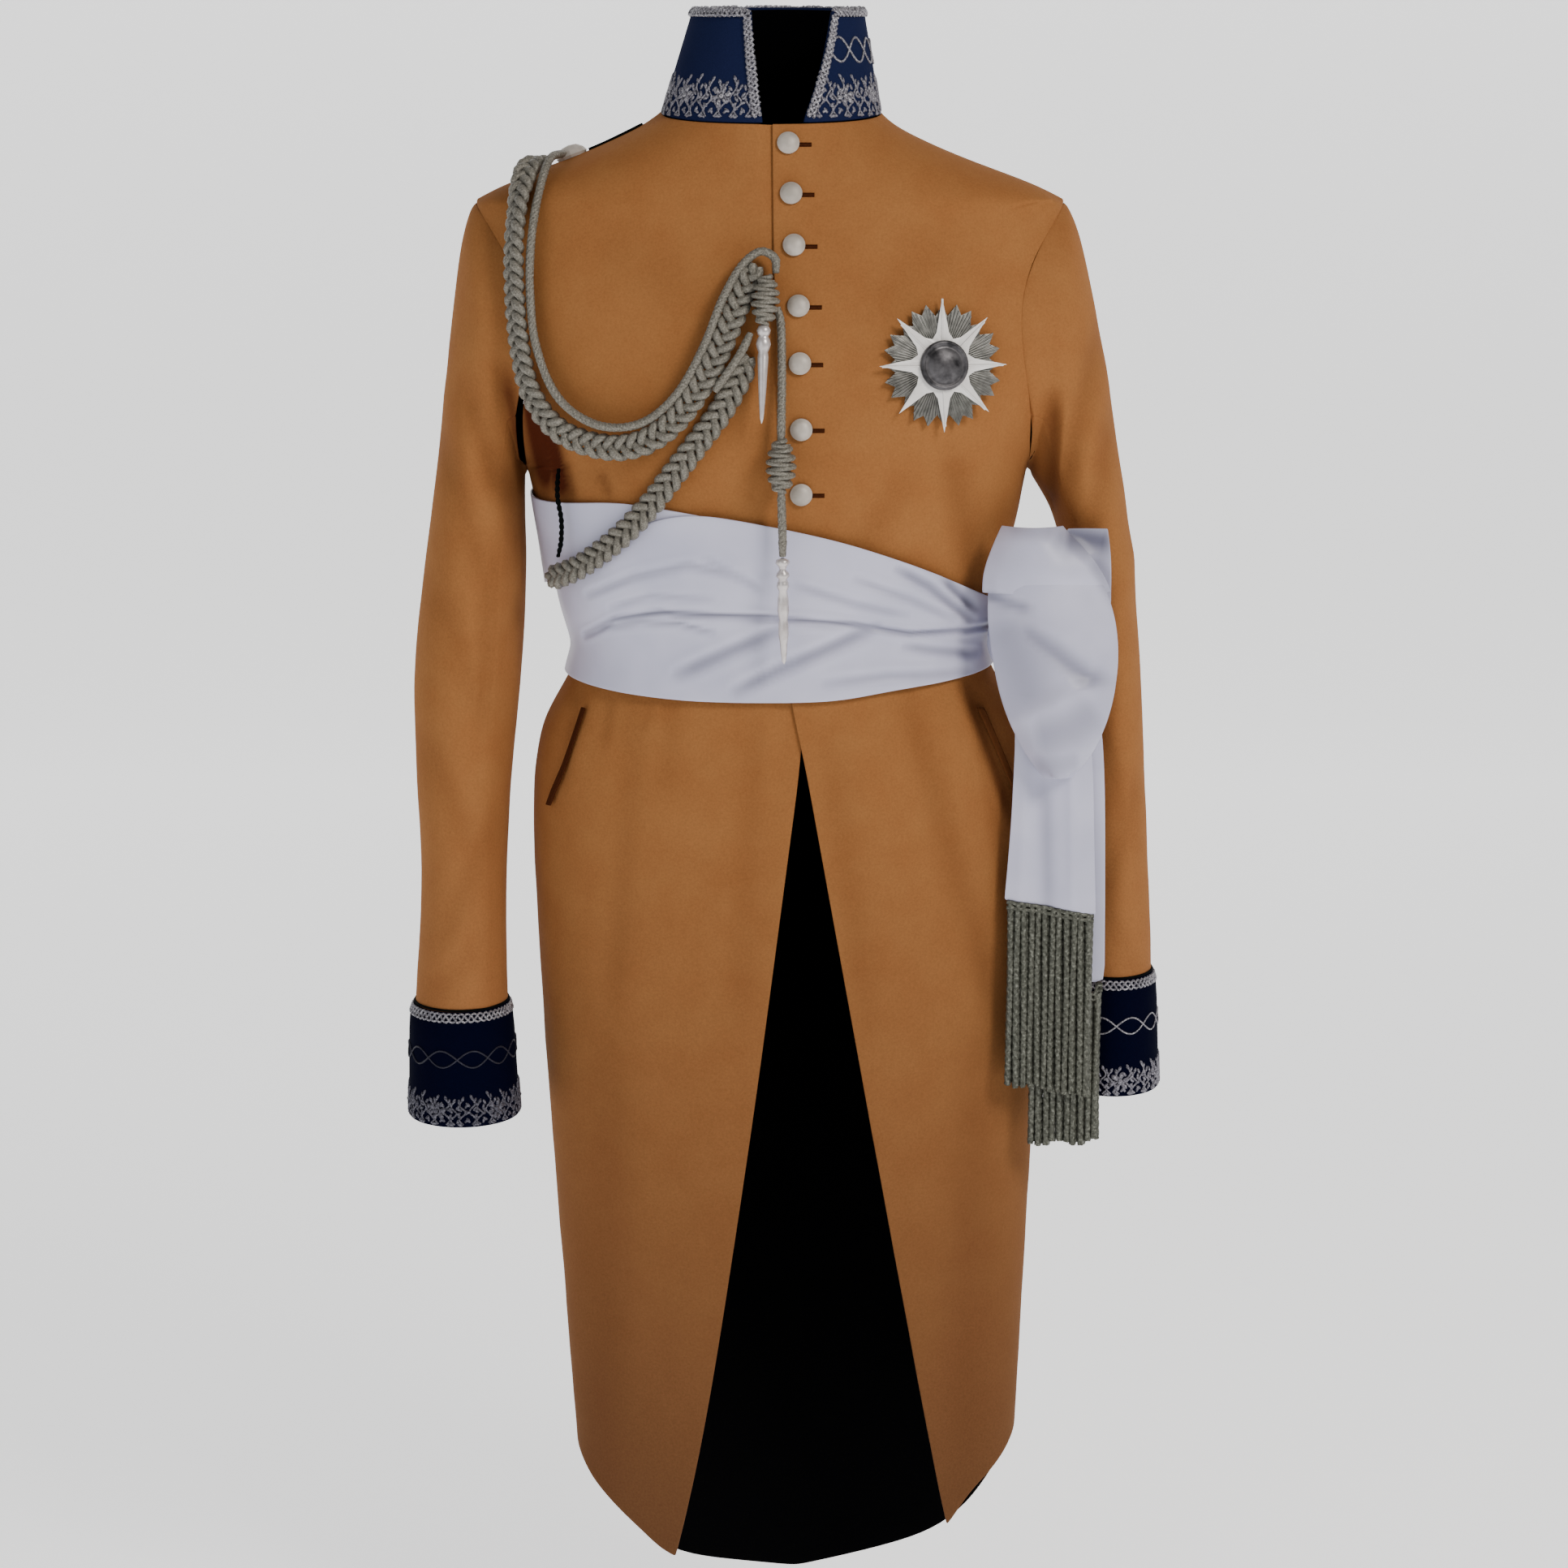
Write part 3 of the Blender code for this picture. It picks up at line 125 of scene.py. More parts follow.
@dataclass(frozen=True)
class Finish:
    """What every finish has: its name and the plain values of its shader."""

    name: str
    colour: str
    shade: str
    roughness: float
    metallic: float = 0.0
    sheen: float = 0.0
    sheen_roughness: float = 0.5
    specular: float = 0.3
    glow: float = 0.0

    def begin(self) -> tuple[bpy.types.Material, bpy.types.NodeTree, bpy.types.Node, bpy.types.Node]:
        """Makes the material with its uniform values.

        Returns:
            The material, its tree, its Principled shader and its texture coordinates.
        """
        material = bpy.data.materials.new(self.name)
        material.use_nodes = True
        tree = material.node_tree
        shader = tree.nodes["Principled BSDF"]
        shader.inputs["Base Color"].default_value = linear(self.colour)
        shader.inputs["Roughness"].default_value = self.roughness
        shader.inputs["Metallic"].default_value = self.metallic
        shader.inputs["Sheen Weight"].default_value = self.sheen
        shader.inputs["Sheen Roughness"].default_value = self.sheen_roughness
        shader.inputs["Sheen Tint"].default_value = linear(self.colour)
        shader.inputs["Specular IOR Level"].default_value = self.specular
        shader.inputs["Emission Color"].default_value = linear(self.colour)
        shader.inputs["Emission Strength"].default_value = self.glow
        coords = add_node(tree, "ShaderNodeTexCoord")
        return material, tree, shader, coords

    def grain(self, tree: bpy.types.NodeTree, coords: bpy.types.Node, size: float, detail: float,
              roughness: float = 0.5) -> bpy.types.Node:
        """Noise of one size in millimetres, fixed to the piece."""
        return add_node(tree, "ShaderNodeTexNoise",
                        {"Scale": per_mm(size), "Detail": detail, "Roughness": roughness},
                        {"Vector": coords.outputs["Object"]})

    def clouded(self, tree: bpy.types.NodeTree, cloud: bpy.types.Node, low: float,
                high: float) -> bpy.types.NodeSocket:
        """The finish's colour, going over to its shade as the noise rises from low to high."""
        spread = add_node(tree, "ShaderNodeMapRange", {"From Min": low, "From Max": high},
                          {"Value": cloud.outputs["Fac"]})
        tone = add_node(tree, "ShaderNodeMixRGB",
                        {"Color1": linear(self.colour), "Color2": linear(self.shade)},
                        {"Fac": spread.outputs["Result"]})
        return tone.outputs["Color"]

    def cover(self, tree: bpy.types.NodeTree, shader: bpy.types.Node, colour: bpy.types.NodeSocket,
              bumps: bpy.types.Node, strength: float, depth: float) -> None:
        """Gives the shader its colour and its fine bumps, with their depth in millimetres."""
        bump = add_node(tree, "ShaderNodeBump", {"Strength": strength, "Distance": depth * MM},
                        {"Height": bumps.outputs["Fac"]})
        tree.links.new(colour, shader.inputs["Base Color"])
        tree.links.new(bump.outputs["Normal"], shader.inputs["Normal"])

    def paint_fold_shade(self, tree: bpy.types.NodeTree, colour: bpy.types.NodeSocket,
               deep: str) -> bpy.types.NodeSocket:
        """Paints shade into a colour in the hollows of the folds, as much as the piece's fold attribute holds.

        Args:
            tree: the material's tree.
            colour: the cloth's colour.
            deep: the colour of the painted shade at the bottom of a fold, as a hex code.

        Returns:
            The colour with its painted fold shade.
        """
        fold = add_node(tree, "ShaderNodeAttribute", {"attribute_name": "fold"})
        hollow = add_node(tree, "ShaderNodeMixRGB", {"Color2": linear(deep)},
                          {"Fac": fold.outputs["Fac"], "Color1": colour})
        return hollow.outputs["Color"]

    def material(self) -> bpy.types.Material:
        """The finish's material, made once."""
        return bpy.data.materials.get(self.name) or self.build()

    def build(self) -> bpy.types.Material:
        """Makes a plain material."""
        return self.begin()[0]


@dataclass(frozen=True)
class NappedWool(Finish):
    """Fulled box cloth with a raised nap: no weave shows, and the pile lies in soft patches."""

    # Painted shade towards the hem, from top_z down to foot_z, as from light falling from above.
    low: str = "#5d3e28"
    # Painted shade at the bottom of the folds and in the dark wedge under the arm.
    deep: str = "#43190a"
    nap_mm: float = 1.6
    patch_mm: float = 34.0
    top_z: float = -0.42
    foot_z: float = -1.08

    def build(self) -> bpy.types.Material:
        """Makes the wool, with painted shade darkening and browning it towards the hem."""
        material, tree, shader, coords = self.begin()
        place = add_node(tree, "ShaderNodeSeparateXYZ", links={"Vector": coords.outputs["Object"]})
        hem_shade_share = add_node(tree, "ShaderNodeMapRange",
                        {"From Min": self.foot_z, "From Max": self.top_z, "To Min": 1.0, "To Max": 0.0},
                        {"Value": place.outputs["Z"]})
        cloth = self.clouded(tree, self.grain(tree, coords, self.patch_mm, 3.0, 0.55), 0.35, 0.7)
        lower = add_node(tree, "ShaderNodeMixRGB", {"Color2": linear(self.low)},
                         {"Fac": hem_shade_share.outputs["Result"], "Color1": cloth})
        nap = self.grain(tree, coords, self.nap_mm, 4.0, 0.7)
        fibres = add_node(tree, "ShaderNodeMapRange",
                          {"From Min": 0.3, "From Max": 0.7, "To Min": 0.86, "To Max": 1.1},
                          {"Value": nap.outputs["Fac"]})
        pile = add_node(tree, "ShaderNodeVectorMath", {"operation": "SCALE"},
                        {0: self.paint_fold_shade(tree, lower.outputs["Color"], self.deep),
                         "Scale": fibres.outputs["Result"]})
        self.cover(tree, shader, pile.outputs["Vector"], nap, 0.35, 0.6)
        return material


@dataclass(frozen=True)
class Pile(Finish):
    """Short dense pile or plain lining: dark, with a fine grain."""

    grain_mm: float = 1.2

    def build(self) -> bpy.types.Material:
        """Makes the pile."""
        material, tree, shader, coords = self.begin()
        pile = self.grain(tree, coords, self.grain_mm, 3.0)
        self.cover(tree, shader, self.clouded(tree, pile, 0.0, 1.0), pile, 0.3, 0.4)
        return material


@dataclass(frozen=True)
class Satin(Finish):
    """Silk satin: long floats give a smooth gloss, with faint ribs across and slow changes of tone."""

    # Painted shade at the bottom of the creases.
    deep: str = "#717186"
    rib_mm: float = 2.4
    cloud_mm: float = 45.0

    def build(self) -> bpy.types.Material:
        """Makes the satin; its real ribs are finer and are drawn coarse enough to show."""
        material, tree, shader, coords = self.begin()
        tone = self.clouded(tree, self.grain(tree, coords, self.cloud_mm, 2.0), 0.35, 0.7)
        ribs = add_node(tree, "ShaderNodeTexWave",
                        {"wave_type": "BANDS", "bands_direction": "Z", "Scale": per_mm(self.rib_mm) / 20,
                         "Distortion": 0.6, "Detail": 2.0},
                        {"Vector": coords.outputs["Object"]})
        self.cover(tree, shader, self.paint_fold_shade(tree, tone, self.deep), ribs, 0.08, 0.3)
        return material


@dataclass(frozen=True)
class MetalThread(Finish):
    """Silver thread wound on silk: a grey ground, painted glints of highlight and painted shade between turns."""

    painted_glint: str = "#e6e2da"
    turn_mm: float = 1.1

    def build(self) -> bpy.types.Material:
        """Makes the thread; a turn is about 0.3 mm in life and is drawn coarser, so that it shows."""
        material, tree, shader, coords = self.begin()
        turns = self.grain(tree, coords, self.turn_mm, 2.0, 0.6)
        # The ramp paints highlight glints and shade between the turns into the colour.
        ramp = add_node(tree, "ShaderNodeValToRGB", links={"Fac": turns.outputs["Fac"]})
        stops = ramp.color_ramp.elements
        stops[0].position, stops[0].color = 0.34, linear(self.shade)
        stops[1].position, stops[1].color = 0.7, linear(self.painted_glint)
        middle = stops.new(0.52)
        middle.color = linear(self.colour)
        self.cover(tree, shader, ramp.outputs["Color"], turns, 0.5, 0.5)
        return material


@dataclass(frozen=True)
class WornMetal(Finish):
    """Cast or stamped metal with a soft polish and cloudy tarnish."""

    cloud_mm: float = 6.0

    def build(self) -> bpy.types.Material:
        """Makes the metal."""
        material, tree, shader, coords = self.begin()
        cloud = self.grain(tree, coords, self.cloud_mm, 4.0)
        dull = add_node(tree, "ShaderNodeMapRange",
                        {"To Min": self.roughness - 0.08, "To Max": self.roughness + 0.14},
                        {"Value": cloud.outputs["Fac"]})
        tree.links.new(dull.outputs["Result"], shader.inputs["Roughness"])
        self.cover(tree, shader, self.clouded(tree, cloud, 0.38, 0.66), cloud, 0.15, 0.3)
        return material


# Box cloth takes light softly: high roughness, hardly any gloss, and a warm sheen from the raised fibres.
WOOL = NappedWool("napped_box_cloth", "#9a673b", "#946036", 0.95, sheen=0.12, sheen_roughness=0.6,
                  specular=0.08)
# The sleeves' copy, whose painted shade towards the cuffs is lighter.
SLEEVE_WOOL = NappedWool("napped_box_cloth_sleeve", "#9b683c", "#956137", 0.95, sheen=0.12,
                         sheen_roughness=0.6, specular=0.08, low="#8e5f3c")
# Cotton sateen lining: black, with hardly a gloss.
LINING = Pile("black_sateen_lining", "#040405", "#020203", 0.9, specular=0.03)
# Silk velvet: the pile swallows light, so no gloss, and a dark blue body.
VELVET = Pile("navy_silk_velvet", "#1b2242", "#141a36", 0.95, specular=0.03, grain_mm=1.0)
CUFF_VELVET = Pile("navy_silk_velvet_cuff", "#04061e", "#020314", 0.95, specular=0.03, grain_mm=1.0)
STRAP_VELVET = Pile("black_velvet_strap", "#0a0d0c", "#060808", 0.95, specular=0.05, grain_mm=1.0)
# Silk satin: low roughness for cloth, cool white.
SATIN = Satin("silk_satin", "#cbcadf", "#bfbfd5", 0.4, sheen=0.05, specular=0.4)
# Wound silver thread, part metal: a mid roughness keeps each strand's own highlight.
CORD = MetalThread("wound_silver_cord", "#7b776d", "#5d5950", 0.5, metallic=0.2, painted_glint="#969186")
EMBROIDERY = MetalThread("silver_purl_embroidery", "#8d8b92", "#4c4a54", 0.42, metallic=0.4, painted_glint="#d2d0d4")
LACE_WORK = MetalThread("grey_purl_lace", "#7d7b84", "#45444e", 0.46, metallic=0.3, painted_glint="#a8a6ae")
# Darker copies of the purl thread for the right cuff, which lies in shade: painted shade.
SHADED_THREAD = MetalThread("painted_shade_purl_thread", "#2a2a36", "#1c1c26", 0.55, metallic=0.2, painted_glint="#3f3f4c")
SHADED_EMBROIDERY = MetalThread("painted_shade_purl_embroidery", "#55545f", "#2c2b36", 0.5, metallic=0.3,
                               painted_glint="#85848d")
BULLION = MetalThread("silver_bullion", "#54554c", "#41423a", 0.4, metallic=0.35, painted_glint="#7d7e74",
                      turn_mm=1.8)
# Silver plate, rubbed: the default metal gloss, dulled by handling.
SILVER = WornMetal("rubbed_silver_plate", "#dcd5d3", "#c4bcb9", 0.3, metallic=0.6)
RAY_SILVER = WornMetal("grey_silver_rays", "#8f8e89", "#6c6b67", 0.36, metallic=0.85)
BUTTON = WornMetal("matt_silver_button", "#c3bab0", "#aaa297", 0.5, metallic=0.25, cloud_mm=14.0)
# Opaque pale enamel over metal: glossy and nearly white.
ENAMEL = WornMetal("pale_enamel", "#efece8", "#e2deda", 0.25, cloud_mm=9.0, specular=0.5)
# Oxidised silver: dark in its hollows and grey on its high places.
OXIDISED = WornMetal("oxidised_silver", "#605e60", "#262527", 0.38, metallic=0.6, cloud_mm=8.0)
# Dark buttonhole silk; on the welts the same colour is painted shade along their edges.
SLIT = Pile("buttonhole_silk_and_painted_welt_shade", "#4a2511", "#2e1408", 0.9, specular=0.05)
# The left welt's lighter brown is painted shade, softer than the right one's.
SOFT_WELT = Pile("painted_soft_welt_shade", "#6b3f22", "#553018", 0.9, specular=0.05)

# White background paper, evenly lit from behind, so it glows a little.
PAPER = Pile("white_background_paper", "#f6f6f6", "#f4f4f4", 0.9, grain_mm=40.0, glow=1.0)


@dataclass(frozen=True)
class Crease:
    """A soft trough in the cloth, or a ridge where depth is negative, as seen from the front or back."""

    x0: float
    z0: float
    x1: float
    z1: float
    width: float
    depth: float
    side: Side = Side.FRONT
    # How much painted shade a trough gets for its depth, through the piece's fold attribute.
    shade: float = 1.0
    lip: float = 0.0
    more: tuple[tuple[float, float], ...] = ()
    reach: float = 3.0
    end_share: float = 0.12
    lip_at: float = 1.7
    lip_tightness: float = 2.2

    def depth_at(self, x: float, z: float) -> float:
        """How deep the crease is at one place, in millimetres."""
        stops = ((self.x0, self.z0), (self.x1, self.z1), *self.more)
        total = passed = 0.0
        nearest = self.reach * self.width
        for (xa, za), (xb, zb) in zip(stops, stops[1:]):
            dx, dz = xb - xa, zb - za
            length = math.hypot(dx, dz)
            share = min(max(((x - xa) * dx + (z - za) * dz) / (length * length), 0.0), 1.0)
            gap = math.hypot(x - xa - share * dx, z - za - share * dz)
            if gap < nearest:
                nearest, passed = gap, total + share * length
            total += length
        away = nearest / self.width
        if away >= self.reach:
            return 0.0
        along = passed / total
        fade = min(1.0, 4.0 * (self.end_share + along * (1 - along)))
        lip = self.lip * math.exp(-self.lip_tightness * (away - self.lip_at) ** 2)
        return self.depth * fade * (math.exp(-away * away) - lip)


FRONT_CREASES = (
    Crease(128, -232, 150, -330, 12, 3.0),
    Crease(60, -300, 96, -245, 12, 1.5),
    Crease(-70, -238, -82, -262, 5, 1.2),
    # These four paint the dark wedge of shade between the right arm and the body: their painted shade is far
    # above their depth.
    Crease(-170, -178, -160, -262, 9, 2.4, shade=7.0),
    Crease(-158, -210, -147, -266, 8, 2.4, shade=6.4),
    Crease(-146, -238, -140, -266, 5, 1.6, shade=5.0),
    Crease(-118, -246, -113, -262, 4, 1.6, shade=3.0),
    Crease(142, -400, 160, -452, 6, 3.0, shade=2.6, more=((176, -500),)),
    Crease(-138, -404, -152, -470, 6, 2.0),
    Crease(-113, -408, -118, -440, 5, 1.2, shade=2.0),
    Crease(-84, -404, -90, -430, 4, 0.8, shade=2.0),
    Crease(96, -395, 165, -640, 11, 2.6),
    Crease(150, -420, 176, -560, 9, 2.0),
    Crease(126, -420, 150, -620, 8, -1.6),
    Crease(-96, -395, -116, -640, 10, 1.6),
    Crease(-70, -402, -76, -470, 8, 1.2),
    Crease(-10, -415, -24, -640, 12, 1.4),
    Crease(40, -430, 70, -640, 12, 1.6),
    Crease(-120, -640, -128, -1000, 20, 2.0),
    Crease(150, -660, 146, -1000, 20, 2.4),
    Crease(-120, -80, -60, -120, 22, 1.4),
    Crease(130, -90, 70, -130, 22, 1.4),
)
BACK_CREASES = (
    Crease(110, -150, 120, -300, 18, 2.0, Side.BACK),
    Crease(-110, -150, -120, -300, 18, 2.0, Side.BACK),
    Crease(60, -420, 90, -760, 14, 2.0, Side.BACK),
    Crease(-50, -420, -70, -760, 14, 2.0, Side.BACK),
    Crease(130, -450, 150, -900, 16, 2.2, Side.BACK),
    Crease(-100, -450, -120, -900, 16, 2.2, Side.BACK),
)
LEFT_SLEEVE_CREASES = (
    Crease(232, -150, 206, -262, 9, 3.2),
    Crease(198, -196, 200, -282, 7, 3.6, shade=2.0),
    Crease(244, -205, 222, -330, 9, 2.6),
    Crease(226, -300, 240, -420, 8, 2.4),
    Crease(262, -300, 238, -380, 10, -2.0),
    Crease(232, -420, 262, -520, 10, 2.0),
    Crease(268, -470, 240, -560, 9, 1.8),
    Crease(236, -560, 270, -618, 9, 1.4),
    Crease(230, -160, 226, -320, 12, 2.4, Side.BACK),
    Crease(262, -380, 238, -470, 10, 2.0, Side.BACK),
)
RIGHT_SLEEVE_CREASES = (
    # Painted shade on the sleeve's inner side by the armpit.
    Crease(-184, -178, -168, -268, 7, 4.0, shade=2.4),
    Crease(-214, -190, -190, -262, 9, 2.6),
    Crease(-238, -215, -200, -330, 10, 2.6),
    Crease(-196, -300, -206, -430, 9, 2.6),
    Crease(-240, -330, -206, -420, 12, 2.0),
    Crease(-250, -440, -215, -520, 10, 1.8),
    Crease(-200, -500, -240, -590, 10, 2.0),
    Crease(-210, -590, -250, -630, 9, 1.4),
    Crease(-220, -160, -214, -320, 12, 2.4, Side.BACK),
    Crease(-246, -380, -214, -470, 10, 2.0, Side.BACK),
)
SASH_CREASES = (
    Crease(-132, -364, -110, -350, 2.3, 3.0, lip=0.45,
           more=((-77, -343), (-3, -345), (60, -351), (99, -359), (156, -360))),
    Crease(-132, -367, -116, -357, 2.0, 1.8, lip=0.4, more=((-91, -351), (-66, -350), (-38, -357))),
    Crease(-64, -386, -23, -367, 4.6, 2.4, lip=0.3, more=((9, -353),)),
    Crease(-23, -397, 13, -379, 4.6, 2.4, lip=0.3, more=((44, -366), (75, -353))),
    Crease(-128, -333, -96, -318, 3.0, 1.5, lip=0.4, more=((-57, -308), (-19, -316))),
    Crease(-112, -341, -84, -331, 2.4, 1.2, lip=0.4, more=((-40, -332),)),
    Crease(-44, -304, -8, -324, 3.4, 1.2, lip=0.4),
    Crease(18, -322, 60, -336, 3.2, 1.5, lip=0.4, more=((96, -345),)),
    Crease(60, -318, 100, -334, 3.0, 1.4, lip=0.4, more=((130, -350),)),
    Crease(90, -312, 112, -325, 3.4, 2.6, lip=0.3, more=((142, -351),)),
    Crease(124, -322, 146, -345, 3.4, 2.6, shade=1.2),
    Crease(96, -368, 146, -378, 3.4, 1.9, lip=0.3),
    Crease(40, -392, 84, -388, 4.0, 1.4, lip=0.3, more=((140, -390),)),
    Crease(-60, -330, 60, -345, 4.0, 1.8, Side.BACK),
    Crease(60, -345, 120, -372, 5.0, 1.8, Side.BACK),
    Crease(-120, -372, -20, -360, 5.0, 1.8, Side.BACK),
    Crease(-60, -290, 90, -300, 6.0, 1.6, Side.BACK),
)
# The wide creases with shade paint the grey belly of the bow's loop: painted shade.
BOW_CREASES = (
    Crease(150, -331, 166, -336, 5, 3.0, shade=1.1, more=((182, -340),)),
    Crease(164, -346, 174, -376, 24, 2.0, shade=1.4, more=((184, -410),)),
    Crease(172, -350, 200, -370, 8, 3.8, shade=0.9, more=((222, -388), (240, -392))),
    Crease(165, -424, 198, -408, 7, -3.4, more=((234, -388),)),
    Crease(184, -430, 212, -424, 20, 2.0, shade=1.4, more=((232, -410),)),
    Crease(186, -454, 220, -448, 13, 1.6, shade=1.4),
    Crease(166, -284, 200, -286, 6, 1.6),
    Crease(204, -288, 222, -308, 6, -2.6, more=((238, -334),)),
    Crease(226, -306, 244, -338, 5, 2.0),
    Crease(206, -291, 240, -297, 9, 3.0, shade=1.7),
)
TAIL_CREASES = (
    Crease(196, -470, 199, -556, 5, 2.0),
    Crease(214, -440, 217, -556, 4, -1.6),
    Crease(182, -470, 180, -556, 5, -1.2),
    Crease(236, -560, 238, -618, 4, 1.2),
)


# Stops of height, x and y on the middle line of each sleeve.
LEFT_SLEEVE_AXIS = ((-60, 200, 0), (-250, 215, 0), (-340, 241, 0), (-470, 250, -1), (-720, 253, -9))
RIGHT_SLEEVE_AXIS = ((-60, -195, 0), (-250, -208, 0), (-340, -215, -1), (-470, -224, -11), (-740, -226, -34))
# The body's and a sleeve's section, as width over depth.
BODY_ASPECT = 2.6
SLEEVE_ASPECT = 1.8
# The body's middle, and how far the skirt's lies towards the wearer's left at the hem.
BODY_MIDDLE = 5.0
SKIRT_SHIFT = 12.0
SKIRT_TOP = -300.0
SKIRT_HEIGHT = 600.0


def limited(value: float) -> float:
    """A value held between 0 and 1."""
    return min(max(value, 0.0), 1.0)


def sleeve_axis(z: float, left: bool) -> tuple[float, float]:
    """The middle of a sleeve seen from above, in millimetres."""
    stops = LEFT_SLEEVE_AXIS if left else RIGHT_SLEEVE_AXIS
    for (z0, x0, y0), (z1, x1, y1) in zip(stops, stops[1:]):
        if z >= z1:
            share = limited((z0 - z) / (z0 - z1))
            return x0 + (x1 - x0) * share, y0 + (y1 - y0) * share
    return stops[-1][1], stops[-1][2]


def outward(place: Vector, hang: Hang) -> Vector:
    """The way out from what a piece goes round, at a place in millimetres."""
    if hang is Hang.FORWARD:
        return Vector((0.0, -1.0, 0.0))
    if hang is Hang.BODY:
        middle = BODY_MIDDLE + SKIRT_SHIFT * limited((SKIRT_TOP - place.z) / SKIRT_HEIGHT)
        return Vector(((place.x - middle) / BODY_ASPECT, place.y, 0.0)).normalized()
    x, y = sleeve_axis(place.z, hang is Hang.LEFT_SLEEVE)
    return Vector((place.x - x, (place.y - y) / SLEEVE_ASPECT, 0.0)).normalized()


def rounded_copy(node: str, level: int) -> bpy.types.Mesh:
    """A merged copy of a solid's mesh, made of quads and rounded, with its wall's rims kept crisp.

    Args:
        node: the solid.
        level: how many times it is subdivided.

    Returns:
        The mesh.
    """
    shape = bmesh.new()
    shape.from_mesh(bpy.data.objects[node].data)
    bmesh.ops.remove_doubles(shape, verts=shape.verts, dist=0.02 * MM)
    bmesh.ops.join_triangles(shape, faces=shape.faces, angle_face_threshold=math.radians(40),
                             angle_shape_threshold=math.radians(80))
    keep = shape.edges.layers.float.new("crease_edge")
    for edge in shape.edges:
        if len(edge.link_faces) == 2 and edge.calc_face_angle() > math.radians(50):
            edge[keep] = 0.9
    mesh = bpy.data.meshes.new(f"{node}_cloth")
    shape.to_mesh(mesh)
    shape.free()
    holder = bpy.data.objects.new(f"{node}_holder", mesh)
    bpy.context.scene.collection.objects.link(holder)
    smooth = holder.modifiers.new("Round", "SUBSURF")
    smooth.levels = smooth.render_levels = level
    graph = bpy.context.evaluated_depsgraph_get()
    made = bpy.data.meshes.new_from_object(holder.evaluated_get(graph))
    bpy.data.objects.remove(holder)
    bpy.data.meshes.remove(mesh)
    return made


@dataclass
class ClothPiece:
    """A cloth piece made from its solid: rounded by subdivision, then creased."""

    node: str
    finish: Finish
    slot: str
    flat: tuple[float, float]
    area: float
    hang: Hang = Hang.BODY
    creases: tuple[Crease, ...] = ()
    level: int = 2
    lined: bool = False
    ripple: float = 0.5
    # The crease shade at which the painted fold shade is full.
    full_shade_at: float = 6.0
    held: str = "hung"
    long_wave: float = 52.0
    short_wave: float = 23.0
    name: str = field(init=False)

    def __post_init__(self) -> None:
        """Names the piece after its solid."""
        self.name = f"{self.node}_cloth"

    def move(self, mesh: bpy.types.Mesh) -> None:
        """Presses the creases into the cloth, keeps their painted shade for the finish, and adds a slight
        unevenness.

        Args:
            mesh: the piece's mesh, changed in place.
        """
        fold = mesh.attributes.new("fold", "FLOAT", "POINT")
        for vertex in mesh.vertices:
            place = vertex.co / MM
            way = outward(place, self.hang)
            trough = ridge = shade = 0.0
            for crease in self.creases:
                facing = -way.y if crease.side is Side.FRONT else way.y
                if facing > 0:
                    press = crease.depth_at(place.x, place.z) * min(1.0, facing * 3)
                    trough = max(trough, press)
                    ridge = min(ridge, press)
                    shade = max(shade, press * crease.shade)
            depth = trough + ridge
            # The fold attribute holds painted shade: each crease's depth times its shade.
            fold.data[vertex.index].value = limited(shade / self.full_shade_at)
            uneven = noise.noise(place / self.long_wave) + 0.5 * noise.noise(place / self.short_wave)
            vertex.co += way * (uneven * self.ripple - depth) * MM

    def line(self, mesh: bpy.types.Mesh) -> None:
        """Gives the faces that look inwards the lining."""
        mesh.materials.append(LINING.material())
        for face in mesh.polygons:
            if face.normal.dot(outward(face.center / MM, self.hang)) < -0.3:
                face.material_index = 1

    def build(self) -> bpy.types.Object:
        """Makes the piece in place of its solid.

        Returns:
            The piece.
        """
        mesh = rounded_copy(self.node, self.level)
        mesh.name = self.name
        mesh.materials.clear()
        mesh.materials.append(self.finish.material())
        if self.lined:
            self.line(mesh)
        self.move(mesh)
        mesh.shade_smooth()
        mesh.set_sharp_from_angle(angle=math.radians(60))
        piece = bpy.data.objects.new(self.name, mesh)
        bpy.context.scene.collection.objects.link(piece)
        finish_piece(piece, self.slot, self.node)
        return piece


def finish_piece(piece: bpy.types.Object, slot: str, *nodes: str) -> None:
    """Fixes a piece to the coat and hides the solids it stands for."""
    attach(piece, "root")
    if nodes:
        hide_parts(*nodes)
    LOG.info("%s: %d faces", piece.name, len(piece.data.polygons))


def smooth_piece(name: str, mesh: bpy.types.Mesh, finish: Finish) -> bpy.types.Object:
    """Makes a smooth object of one finish from a mesh and links it."""
    mesh.name = name
    mesh.materials.clear()
    mesh.materials.append(finish.material())
    mesh.shade_smooth()
    piece = bpy.data.objects.new(name, mesh)
    bpy.context.scene.collection.objects.link(piece)
    return piece


def new_piece(name: str, shape: bmesh.types.BMesh, finish: Finish) -> bpy.types.Object:
    """Makes a smooth object from a bmesh in metres."""
    mesh = bpy.data.meshes.new(name)
    shape.to_mesh(mesh)
    shape.free()
    return smooth_piece(name, mesh, finish)


